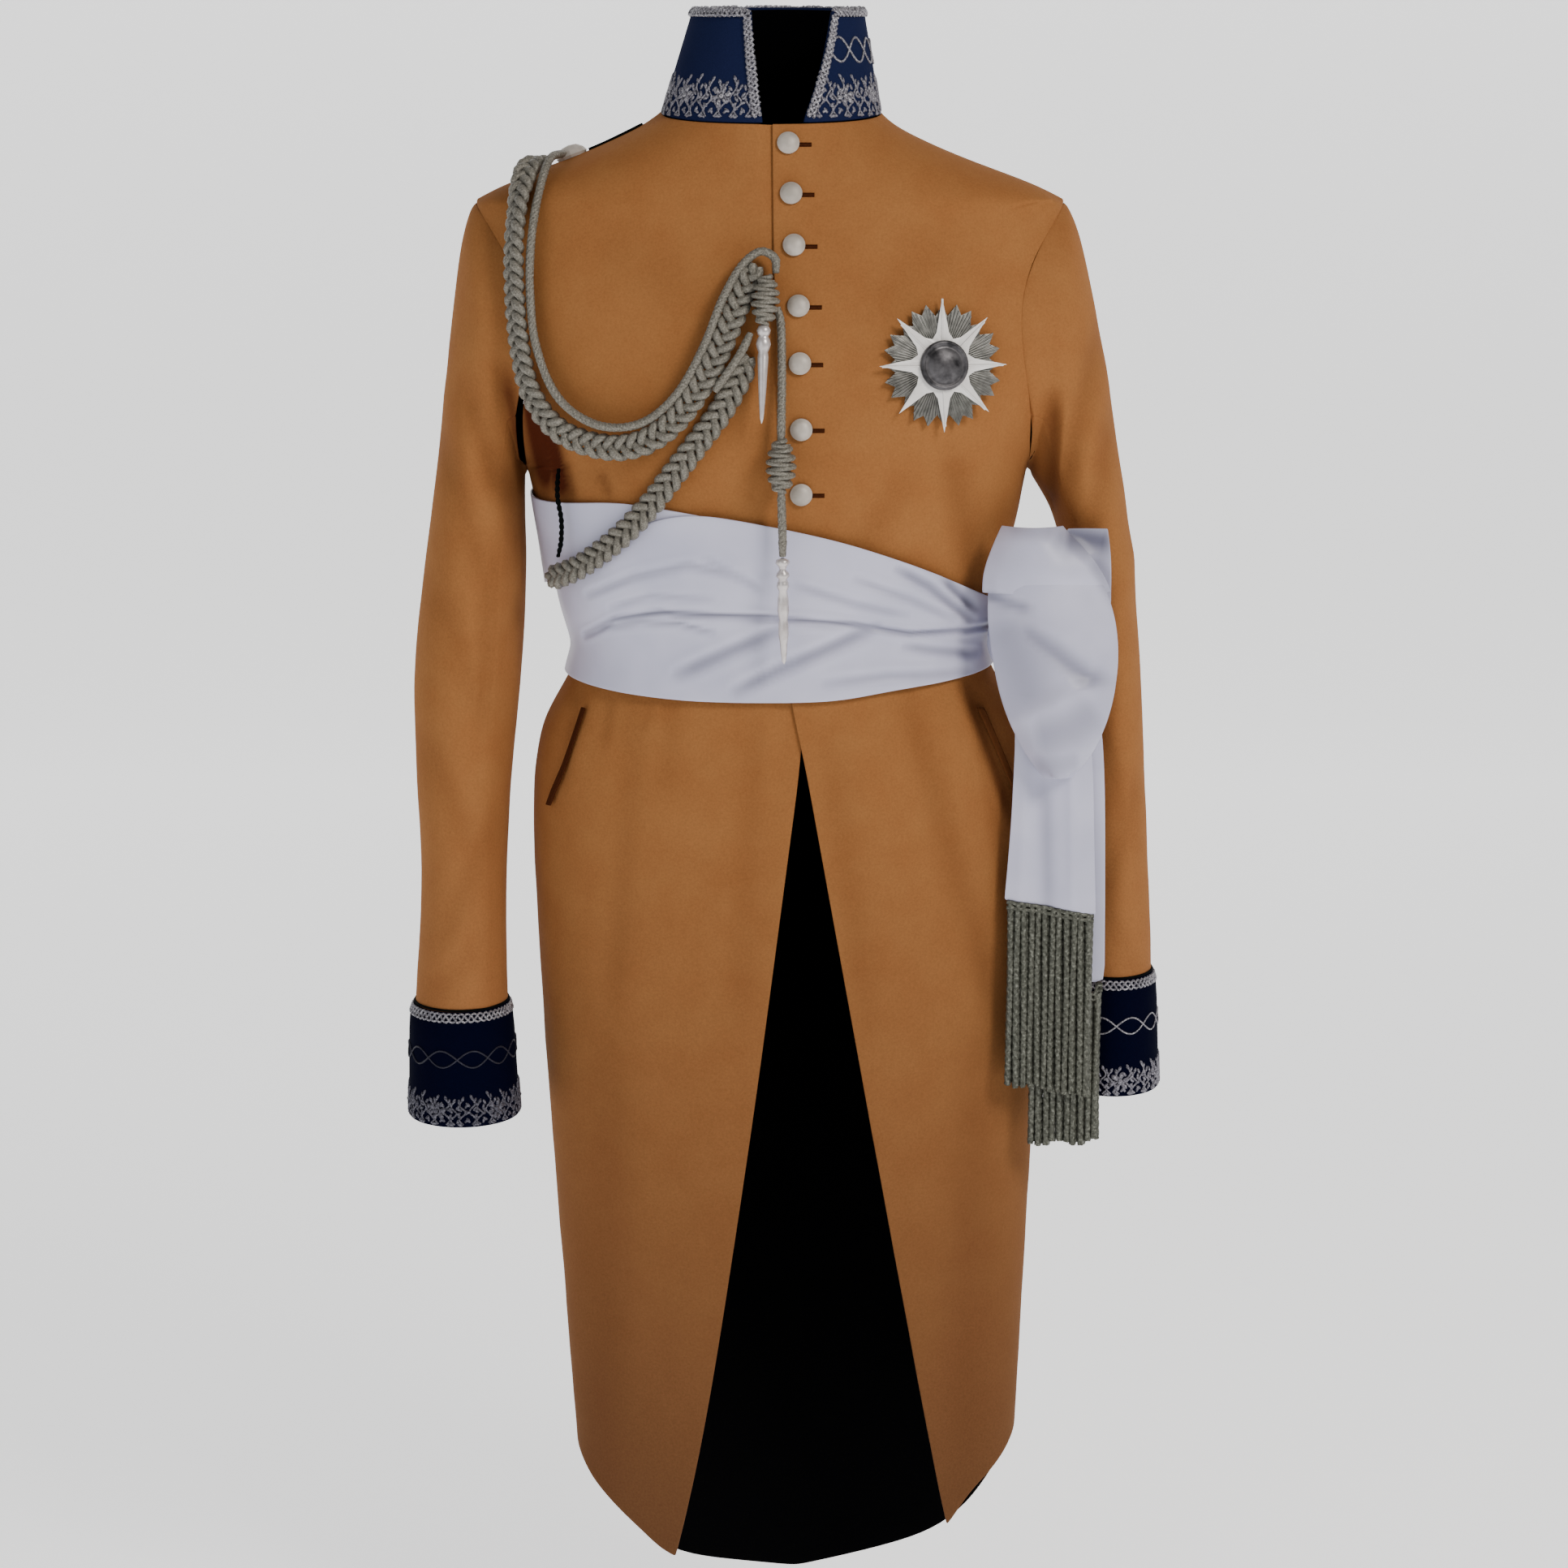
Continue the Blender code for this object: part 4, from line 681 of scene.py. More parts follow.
def smooth_line(stops: list[Vector], spacing: float) -> list[Vector]:
    """Points at an even spacing on a smooth curve through the stops."""
    points = [2 * stops[0] - stops[1]] + list(stops) + [2 * stops[-1] - stops[-2]]
    fine = []
    for k in range(1, len(points) - 2):
        a, b, c, d = points[k - 1:k + 3]
        for step in range(20):
            t = step / 20
            fine.append(0.5 * (2 * b + (c - a) * t + (2 * a - 5 * b + 4 * c - d) * t**2
                               + (3 * b - a - 3 * c + d) * t**3))
    fine.append(points[-2])
    length = line_length(fine)
    count = max(2, round(length / spacing))
    even, travelled = [fine[0]], 0.0
    for a, b in zip(fine, fine[1:]):
        step = (b - a).length
        while len(even) < count and travelled + step >= len(even) * length / count - 1e-9:
            share = (len(even) * length / count - travelled) / step
            even.append(a.lerp(b, share))
        travelled += step
    even.append(fine[-1])
    return even


def line_length(line: list[Vector]) -> float:
    """The length of a line of points."""
    return sum((b - a).length for a, b in zip(line, line[1:]))


@dataclass(frozen=True)
class Strand:
    """One strand of a cord or braid: where it starts in its turn, and its radius."""

    phase: float
    radius: float


@dataclass(frozen=True)
class Lay:
    """How strands go round a cord's line: reach across and out, turns a millimetre, and crossings."""

    across: float
    out: float
    pitch: float
    strands: tuple[Strand, ...]
    crossings: int = 1

    def offset(self, strand: Strand, along: float, across: Vector, out: Vector) -> Vector:
        """Where a strand lies off the line, at a length along it in millimetres."""
        turn = 2 * math.pi * along / self.pitch + strand.phase
        side = math.sin(turn) * self.across
        lift = (math.cos(turn) if self.crossings == 1 else math.sin(self.crossings * turn)) * self.out
        return across * side + out * lift


def strand_mesh(name: str, lines: list[list[Vector]], radii: list[float], finish: Finish,
                sides: int = 1) -> bpy.types.Object:
    """A mesh of round strands, each along its own line in metres.

    Args:
        name: the piece's name.
        lines: one line of points for each strand.
        radii: each strand's radius in metres.
        finish: the strands' finish.
        sides: the curve's bevel resolution.

    Returns:
        The piece.
    """
    curve = bpy.data.curves.new(f"{name}_curve", "CURVE")
    curve.dimensions = "3D"
    curve.bevel_depth = 1.0
    curve.bevel_resolution = sides
    curve.use_fill_caps = True
    for line, radius in zip(lines, radii):
        spline = curve.splines.new("POLY")
        spline.points.add(len(line) - 1)
        for stop, place in zip(spline.points, line):
            stop.co = (*place, 1.0)
            stop.radius = radius
    holder = bpy.data.objects.new(f"{name}_holder", curve)
    bpy.context.scene.collection.objects.link(holder)
    graph = bpy.context.evaluated_depsgraph_get()
    mesh = bpy.data.meshes.new_from_object(holder.evaluated_get(graph))
    bpy.data.objects.remove(holder)
    bpy.data.curves.remove(curve)
    return smooth_piece(name, mesh, finish)


@dataclass(frozen=True)
class CordRun:
    """One cord of the aiguillette: its route, its size and how it is laid."""

    node: str
    route: tuple[tuple[float, float, float], ...]
    diameter: float
    lay: Lay
    far_end: str = "object"
    with_pieces: tuple[str, ...] = ()
    slot: str = "silver_cord"
    finish: Finish = CORD
    spacing: float = 1.6
    ease_ends: float = 8.0
    end_width: float = 0.35
    shoulder_z: float = -80.0
    shoulder_run: float = 50.0

    def way_out(self, place: Vector) -> Vector:
        """The way out from the cloth under the cord."""
        way = Vector((place.x * 0.6, place.y, 0.0)).normalized()
        high = limited((place.z - self.shoulder_z) / self.shoulder_run)
        return way.lerp(Vector((0.0, 0.0, 1.0)), high * high * (3 - 2 * high)).normalized()

    def build(self) -> bpy.types.Object:
        """Returns:
            The cord.
        """
        line = smooth_line([Vector(stop) for stop in self.route], self.spacing)
        total = line_length(line)
        lines: list[list[Vector]] = [[] for _ in self.lay.strands]
        along = 0.0
        for k, place in enumerate(line):
            if k:
                along += (place - line[k - 1]).length
            ahead = (line[min(k + 1, len(line) - 1)] - line[max(k - 1, 0)]).normalized()
            across = ahead.cross(self.way_out(place)).normalized()
            out = across.cross(ahead).normalized()
            eased = min(1.0, along / self.ease_ends, (total - along) / self.ease_ends + 0.05)
            narrow = self.end_width + (1 - self.end_width) * eased
            for strand, points in zip(self.lay.strands, lines):
                points.append((place + self.lay.offset(strand, along, across, out) * narrow) * MM)
        radii = [strand.radius * MM for strand in self.lay.strands]
        piece = strand_mesh(f"{self.node}_strands", lines, radii, self.finish)
        finish_piece(piece, self.slot, self.node)
        return piece


def even_strands(count: int, radius: float) -> tuple[Strand, ...]:
    """Strands of one radius, evenly round the turn."""
    return tuple(Strand(2 * math.pi * k / count, radius) for k in range(count))


def spun(profile: Sequence[tuple[float, float]], steps: int) -> bmesh.types.BMesh:
    """A turned shape from a profile of radius and height in millimetres."""
    shape = bmesh.new()
    points = [shape.verts.new((r * MM, 0.0, h * MM)) for r, h in profile]
    edges = [shape.edges.new((a, b)) for a, b in zip(points, points[1:])]
    bmesh.ops.spin(shape, geom=points + edges, cent=(0, 0, 0), axis=(0, 0, 1), angle=2 * math.pi, steps=steps,
                   use_merge=True)
    bmesh.ops.remove_doubles(shape, verts=shape.verts, dist=1e-6)
    bmesh.ops.recalc_face_normals(shape, faces=shape.faces)
    return shape


@dataclass(frozen=True)
class Knot:
    """A knot wound of thin cord both ways round, its turns closing to a waist at each end."""

    node: str
    top: tuple[float, float, float]
    foot: tuple[float, float, float]
    radius: float
    turns: float = 6.0
    cord: float = 1.7
    waist: float = 3.4
    core: float = 0.62
    points: int = 170

    def winding(self, start: Vector, end: Vector, sense: int) -> list[Vector]:
        """One layer of turns, going over and under the other.

        Args:
            start: the top of the knot in millimetres.
            end: its foot.
            sense: which way round the turns go.

        Returns:
            The layer's line in metres.
        """
        axis = (end - start).normalized()
        side = axis.cross(Vector((0.0, 1.0, 0.0))).normalized()
        front = axis.cross(side)
        line = []
        for k in range(self.points):
            share = k / (self.points - 1)
            swell = self.waist + (self.radius - self.waist) * math.sin(math.pi * share) ** 0.6
            turn = sense * 2 * math.pi * self.turns * share
            reach = swell - self.cord + 0.5 * sense * math.sin(2 * turn)
            out = side * math.cos(turn) + front * math.sin(turn)
            line.append((start.lerp(end, share) + out * reach) * MM)
        return line

    def build(self) -> bpy.types.Object:
        """Makes the knot in place of its solid.

        Returns:
            The knot.
        """
        start, end = Vector(self.top), Vector(self.foot)
        core = [start.lerp(end, share) * MM for share in (0.08, 0.3, 0.5, 0.7, 0.92)]
        lines = [self.winding(start, end, 1), self.winding(start, end, -1), core]
        radii = [self.cord * MM, self.cord * MM, self.radius * self.core * MM]
        piece = strand_mesh(f"{self.node}_winding", lines, radii, CORD)
        finish_piece(piece, "silver_cord", self.node)
        return piece


@dataclass(frozen=True)
class Spindle:
    """A turned metal tag: shares of its length from the top, and radii in millimetres."""

    node: str
    profile: tuple[tuple[float, float], ...]
    end: float = 2.0
    steps: int = 14

    def build(self) -> bpy.types.Object:
        """Makes the tag along its solid.

        Returns:
            The tag.
        """
        points = [vertex.co.copy() for vertex in bpy.data.objects[self.node].data.vertices]
        high = max(p.z for p in points)
        low = min(p.z for p in points)
        top = [p for p in points if p.z > high - self.end * MM]
        foot = [p for p in points if p.z < low + self.end * MM]
        start = sum(top, Vector()) / len(top)
        end = sum(foot, Vector()) / len(foot)
        length = (end - start).length / MM
        shape = spun([(radius, share * length) for share, radius in self.profile], self.steps)
        turn = (end - start).to_track_quat("Z", "Y").to_matrix().to_4x4()
        bmesh.ops.transform(shape, matrix=Matrix.Translation(start) @ turn, verts=shape.verts)
        piece = new_piece(f"{self.node}_turned", shape, SILVER)
        finish_piece(piece, "silver", self.node)
        return piece


@dataclass
class Aiguillette:
    """The cords, plaits, knots and tags that hang from the right shoulder."""

    plait_lay: Lay = Lay(6.5, 2.2, 27.0, even_strands(3, 3.1), crossings=2)
    rope_lay: Lay = Lay(1.15, 1.15, 15.0, even_strands(4, 2.0))
    thin_lay: Lay = Lay(0.9, 0.9, 9.0, even_strands(2, 1.1))
    plait_front: tuple[tuple[float, float, float], ...] = (
        (-161, -17, -32), (-169, -42, -36.5), (-174.2, -62.3, -56), (-177, -76, -86), (-177, -81, -118),
        (-174, -86, -155), (-166, -91, -190), (-147, -98, -215), (-117, -108, -226), (-88, -118, -223),
        (-62, -123, -204), (-40, -122, -170), (-26, -117, -139), (-17, -112, -118), (-9, -109, -103),
    )
    plait_under: tuple[tuple[float, float, float], ...] = (
        (-15, -117, -164), (-21, -117.8, -179), (-34, -117.6, -202), (-51, -116.8, -225), (-67, -115, -246),
        (-84, -111, -268), (-106, -102, -291), (-131, -84, -311), (-147, -68, -320), (-157, -53, -325),
    )
    cord_upper: tuple[tuple[float, float, float], ...] = (
        (-146, -12, -27), (-154, -44, -31.5), (-160.5, -67.1, -55.6), (-164.5, -81, -84), (-165.8, -86, -118),
        (-161.5, -93, -158), (-146, -102, -193), (-118.5, -112, -211), (-88, -120, -209), (-63.5, -124, -189),
        (-45.5, -122, -158), (-32.5, -117, -126), (-20, -111, -104), (-7, -108, -93), (3.5, -109, -97),
        (4.5, -111, -107),
    )
    cord_lower: tuple[tuple[float, float, float], ...] = (
        (-13, -121, -148), (-19, -125.2, -160), (-29, -127, -175), (-37.4, -126.6, -186.6),
    )
    drop_upper: tuple[tuple[float, float, float], ...] = (
        (5.5, -108.6, -131), (8, -110.9, -144), (8.5, -119, -180), (8, -126.5, -222),
    )
    drop_lower: tuple[tuple[float, float, float], ...] = (
        (8, -128, -253), (8.5, -128, -270), (9, -128, -286), (9, -128, -300),
    )
    arm_loop: tuple[tuple[float, float, float], ...] = (
        (-148.1, -75, -244.6), (-149, -79, -262), (-146.5, -78, -280), (-147, -75, -295), (-149.5, -71, -307),
    )
    knots: tuple[Knot, ...] = (
        Knot("knot_1", (-1.7, -117, -109), (-3.7, -120, -142), 10.2),
        Knot("knot_2", (8, -127, -220), (8, -128, -256), 10.8),
    )
    spike: Spindle = Spindle("tag_1", (
        (0, 1.0), (0.02, 3.6), (0.06, 4.9), (0.1, 4.2), (0.12, 3.2), (0.15, 4.4), (0.2, 5.2), (0.25, 4.2),
        (0.28, 3.3), (0.33, 3.8), (0.55, 3.1), (0.78, 2.2), (0.95, 1.3), (1.0, 0.2)))
    drop: Spindle = Spindle("tag_2", (
        (0, 1.2), (0.02, 4.6), (0.05, 5.0), (0.08, 3.0), (0.11, 2.2), (0.14, 4.2), (0.17, 4.8), (0.2, 2.8),
        (0.23, 3.9), (0.27, 4.3), (0.31, 2.9), (0.38, 3.8), (0.5, 4.1), (0.58, 2.9), (0.62, 3.5), (0.72, 3.6),
        (0.8, 2.7), (0.9, 2.2), (0.97, 1.5), (1.0, 0.3)))

    def runs(self) -> list[CordRun]:
        """Every cord, from the shoulder down."""
        return [
            CordRun("plait_front", self.plait_front, 15.0, self.plait_lay,
                    with_pieces=("knot_1_winding", "tag_1_turned")),
            CordRun("plait_under", self.plait_under, 15.0, self.plait_lay),
            CordRun("cord_upper", self.cord_upper, 6.2, self.rope_lay),
            CordRun("cord_lower", self.cord_lower, 6.2, self.rope_lay),
            CordRun("cord_drop_1", self.drop_upper, 6.2, self.rope_lay, with_pieces=("knot_2_winding",)),
            CordRun("cord_drop_2", self.drop_lower, 6.2, self.rope_lay, far_end="fitting",
                    with_pieces=("tag_2_turned",)),
            CordRun("arm_loop", self.arm_loop, 4.0, self.thin_lay, slot="navy_velvet", finish=STRAP_VELVET),
        ]

    def build(self) -> None:
        """Makes the knots and tags, then the cords that carry them."""
        for knot in self.knots:
            knot.build()
        self.spike.build()
        self.drop.build()
        for run in self.runs():
            run.build()


def seat(node: str) -> Matrix:
    """The place and turn of a shape that stands on the back face of a round solid, sunk in by 0.2 mm."""
    solid = bpy.data.objects[node].data
    middle = sum((vertex.co for vertex in solid.vertices), Vector()) / len(solid.vertices)
    back = max(solid.polygons, key=lambda face: face.normal.y * face.area)
    way = -back.normal
    foot = middle - way * (middle - back.center).dot(way)
    return Matrix.Translation(foot - way * 0.2 * MM) @ way.to_track_quat("Z", "Y").to_matrix().to_4x4()


def dress_solid(node: str, finish: Finish) -> None:
    """Gives a rigid solid its finish."""
    for place in bpy.data.objects[node].material_slots:
        place.material = finish.material()


@dataclass
class Panels:
    """The wool body, its sleeves and linings."""

    strap_reach: tuple[float, float] = (-178.0, -70.0)
    shoulder_from: float = -60.0
    shoulder_lift: float = 1.5
    shoulder_width: float = 20.0
    shoulder_run: float = 14.0
    full_shade_at: float = 12.0

    def pieces(self) -> list[ClothPiece]:
        """Every panel, with the flat cut of what shows."""
        wool = dict(slot="wool", lined=True, full_shade_at=self.full_shade_at)
        body = dict(finish=WOOL, **wool)
        front = dict(creases=FRONT_CREASES + BACK_CREASES, level=3, **body)
        back = dict(creases=BACK_CREASES, level=2, **body)
        sleeve = dict(finish=SLEEVE_WOOL, level=3, **wool)
        left = dict(creases=LEFT_SLEEVE_CREASES, hang=Hang.LEFT_SLEEVE, **sleeve)
        right = dict(creases=RIGHT_SLEEVE_CREASES, hang=Hang.RIGHT_SLEEVE, **sleeve)
        welt = dict(slot="welt", flat=(0.012, 0.078), area=0.00058, ripple=0.0, creases=FRONT_CREASES)
        return [
            ClothPiece("front_left", flat=(0.34, 1.06), area=0.185, **front),
            ClothPiece("front_right", flat=(0.34, 1.08), area=0.215, **front),
            ClothPiece("back_left", flat=(0.25, 0.45), area=0.0835, **back),
            ClothPiece("back_right", flat=(0.25, 0.45), area=0.0837, **back),
            ClothPiece("back_skirt_left", flat=(0.30, 0.76), area=0.152, **back),
            ClothPiece("back_skirt_right", flat=(0.30, 0.76), area=0.1536, **back),
            ClothPiece("sleeve_left_top", flat=(0.24, 0.60), area=0.092, **left),
            ClothPiece("sleeve_left_under", flat=(0.10, 0.46), area=0.035, **left),
            ClothPiece("sleeve_right_top", flat=(0.25, 0.62), area=0.103, **right),
            ClothPiece("sleeve_right_under", flat=(0.10, 0.48), area=0.037, **right),
            ClothPiece("back_lining", LINING, "black_lining", (0.44, 0.72), 0.284),
            ClothPiece("collar_lining", LINING, "black_lining", (0.40, 0.10), 0.034, ripple=0.0),
            ClothPiece("pocket_welt_left", SOFT_WELT, **welt),
            ClothPiece("pocket_welt_right", SLIT, **welt),
            ClothPiece("shoulder_strap", STRAP_VELVET, "navy_velvet", (0.014, 0.05), 0.00055, ripple=0.0),
        ]

    def raise_shoulder(self) -> None:
        """Lifts the right shoulder's seam to the strap and knob that lie on it."""
        start, end = self.strap_reach
        for name in ("front_right_cloth", "back_right_cloth"):
            for vertex in bpy.data.objects[name].data.vertices:
                place = vertex.co / MM
                if place.z > self.shoulder_from and start < place.x < end:
                    inside = min(1.0, min(place.x - start, end - place.x) / self.shoulder_run)
                    crown = math.exp(-(place.y / self.shoulder_width) ** 2)
                    vertex.co.z += self.shoulder_lift * MM * inside * crown

    def build(self) -> None:
        """Makes every panel."""
        for piece in self.pieces():
            piece.build()
        self.raise_shoulder()


@dataclass
class Sash:
    """The satin sash's two turns, its knot, bow and tails."""

    tuck_from: float = -308.0
    tuck_run: float = 20.0
    tuck_depth: float = 6.0
    fold_x: float = 158.0
    gathers: int = 9
    gather_depth: float = 0.6
    gather_slant: float = 0.2

    def pieces(self) -> list[ClothPiece]:
        """Every piece of satin."""
        satin = dict(finish=SATIN, slot="satin", level=3)
        turn = dict(creases=SASH_CREASES, ripple=0.4, held="stretched", full_shade_at=3.8, **satin)
        hanging = dict(hang=Hang.FORWARD, ripple=0.7, full_shade_at=5.0, **satin)
        bow = dict(creases=BOW_CREASES, **hanging)
        tail = dict(creases=TAIL_CREASES, **hanging)
        return [
            ClothPiece("sash_main", flat=(0.13, 0.84), area=0.068, **turn),
            ClothPiece("sash_upper", flat=(0.075, 0.62), area=0.037, **turn),
            ClothPiece("bow_loop", flat=(0.10, 0.34), area=0.0197, **bow),
            ClothPiece("bow_crown", flat=(0.10, 0.08), area=0.006, **bow),
            ClothPiece("bow_back", flat=(0.04, 0.055), area=0.00185, **bow),
            ClothPiece("tail_front", flat=(0.062, 0.19), area=0.0098, **tail),
            ClothPiece("tail_back", flat=(0.058, 0.235), area=0.0117, **tail),
        ]

    def tuck_crown(self) -> None:
        """Presses the foot of the crown into the loop, so the two read as one fold save at the inner side."""
        for vertex in bpy.data.objects["bow_crown_cloth"].data.vertices:
            place = vertex.co / MM
            down = limited((self.tuck_from - place.z) / self.tuck_run)
            aside = limited((place.x - self.fold_x) / self.tuck_run)
            vertex.co.y += self.tuck_depth * MM * down * down * aside

    def build_knot(self) -> None:
        """The knot behind the bow: a rounded copy of its solid with gathers running through it."""
        mesh = rounded_copy("sash_knot", 2)
        middle = sum((v.co for v in mesh.vertices), Vector()) / len(mesh.vertices)
        for vertex in mesh.vertices:
            off = vertex.co - middle
            turn = self.gathers * math.atan2(off.z, off.y) + self.gather_slant * off.x / MM
            vertex.co += off.normalized() * self.gather_depth * MM * (math.sin(turn) - 1)
        knot = smooth_piece("sash_knot_gathers", mesh, SATIN)
        finish_piece(knot, "satin", "sash_knot")

    def build(self) -> None:
        """Makes every piece of satin."""
        for piece in self.pieces():
            piece.build()
        self.tuck_crown()
        self.build_knot()


@dataclass(frozen=True)
class BullionFringe:
    """A fringe of twisted bullion strands under a narrow heading."""

    node: str
    count: int
    rows: int = 2
    radius: float = 2.1
    twist: float = 0.5
    pitch: float = 13.0
    margin: float = 1.6
    spacing: float = 1.7
    row_y: tuple[float, float] = (-1.3, 1.5)
    heading_radius: float = 1.5
    heading_drops: tuple[float, float] = (1.5, 5.2)
    heading_ahead: float = 2.0
    heading_points: int = 30

    def yarn(self, top: Vector, foot_z: float, number: int, row: int, phase: float) -> list[Vector]:
        """One of a strand's yarns.

        Args:
            top: the strand's top in millimetres.
            foot_z: the height of its foot.
            number: the strand's place in its row.
            row: 0 for the row in front and 1 for the one behind.
            phase: where the yarn starts in its turn.

        Returns:
            The yarn's line in metres.
        """
        line = []
        height = top.z - foot_z
        steps = int(height / self.spacing)
        for step in range(steps + 1):
            drop = height * step / steps
            turn = 2 * math.pi * drop / self.pitch + phase + 1.3 * number
            sway = 0.5 * math.sin(drop / 31 + 2.3 * number + row)
            off = Vector((sway + self.twist * math.cos(turn), self.twist * math.sin(turn), -drop))
            line.append((top + off) * MM)
        return line

    def build(self) -> bpy.types.Object:
        """Makes the strands inside the box of their solid.

        Returns:
            The fringe.
        """
        low, high = (Vector(corner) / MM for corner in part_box(self.node))
        places = [v.co / MM for v in bpy.data.objects[self.node].data.vertices]
        lines, radii = [], []
        for row in range(self.rows):
            for k in range(self.count):
                share = (k + 0.5 + 0.3 * row) / (self.count + 0.3)
                x = low.x + self.margin + (high.x - low.x - 2 * self.margin) * share
                near = [p for p in places if abs(p.x - x) < 4.5]
                y = sum(p.y for p in near) / len(near) + self.row_y[row]
                top = Vector((x, y, max(p.z for p in near) - 0.5))
                foot_z = min(p.z for p in near) + 1.5 * math.sin(5.1 * k + row)
                for phase in (0.0, math.pi):
                    lines.append(self.yarn(top, foot_z, k, row, phase))
                    radii.append(self.radius * MM)
        heading = []
        for step in range(self.heading_points):
            x = low.x + 1.5 + (high.x - low.x - 3.0) * step / (self.heading_points - 1)
            near = [p for p in places if abs(p.x - x) < 6]
            y = sum(p.y for p in near) / len(near)
            heading.append(Vector((x, y - self.heading_ahead, max(p.z for p in near))))
        for drop in self.heading_drops:
            lines.append([(place - Vector((0.0, 0.0, drop))) * MM for place in heading])
            radii.append(self.heading_radius * MM)
        piece = strand_mesh(f"{self.node}_bullion", lines, radii, BULLION)
        finish_piece(piece, "bullion", self.node)
        return piece


def level_way(degrees: float) -> Vector:
    """The level direction at an angle, 0 to the front and 90 to the wearer's left."""
    turn = math.radians(degrees)
    return Vector((math.sin(turn), -math.cos(turn), 0.0))


@dataclass
class Ground:
    """The outer face of a velvet piece, on which embroidery is laid; start, ray and close are in metres."""

    pieces: tuple[str, ...]
    middle_low: tuple[float, float]
    middle_high: tuple[float, float]
    low_z: float
    high_z: float
    start: float = 0.2
    ray: float = 0.185
    close: float = 0.06
    sweep_step: float = 0.5
    widest_edge: float = 80.0
    usual_edge: float = 40.0
    tree: BVHTree = field(init=False)

    def __post_init__(self) -> None:
        """Reads the piece's faces."""
        self.tree = cloth_tree(self.pieces)

    def middle(self, z: float) -> Vector:
        """The middle of the piece at a height in millimetres, in metres."""
        share = (z - self.low_z) / (self.high_z - self.low_z)
        return Vector((self.middle_low[0] + (self.middle_high[0] - self.middle_low[0]) * share,
                       self.middle_low[1] + (self.middle_high[1] - self.middle_low[1]) * share, z)) * MM

    def hit(self, middle: Vector, way: Vector) -> tuple[Vector | None, Vector | None]:
        """Where a line towards the middle meets the face, and the face's normal there."""
        spot, normal, _, _ = self.tree.ray_cast(middle + way * self.start, -way, self.ray)
        return spot, normal

    def edge(self, z: float, sense: int) -> float:
        """The angle at which an open piece starts, going one way round from the front.

        Args:
            z: the height in millimetres.
            sense: 1 towards the wearer's left, -1 towards the right.

        Returns:
            The angle in degrees.
        """
        middle = self.middle(z)
        for step in range(int(self.widest_edge / self.sweep_step)):
            degrees = self.sweep_step * step * sense
            if self.hit(middle, level_way(degrees))[0] is not None:
                return degrees
        return self.usual_edge * sense

    def place(self, degrees: float, z: float, lift: float = 0.0) -> tuple[Vector, Vector]:
        """A point on the face and the way out from it.

        Args:
            degrees: the angle round the piece, 0 in front and 90 at the wearer's left.
            z: the height in millimetres.
            lift: how far off the face the point lies, in millimetres.

        Returns:
            The point in metres and the normal.
        """
        middle = self.middle(z)
        way = level_way(degrees)
        spot, normal = self.hit(middle, way)
        if spot is None:
            spot, normal, _, _ = self.tree.find_nearest(middle + way * self.close)
        if normal.dot(way) < 0:
            normal = -normal
        return spot + normal * lift * MM, normal


# A curl of the lace, and the leaves on it: shares of its height with millimetres aside, and with angles.
LACE_CURL = ((0.24, 2.6), (0.5, -1.6), (0.76, 2.2), (1.0, -0.6))
LACE_LEAVES = ((0.06, 20), (0.2, 130), (0.34, 50), (0.48, 150), (0.6, 35), (0.74, 120), (0.88, 65))


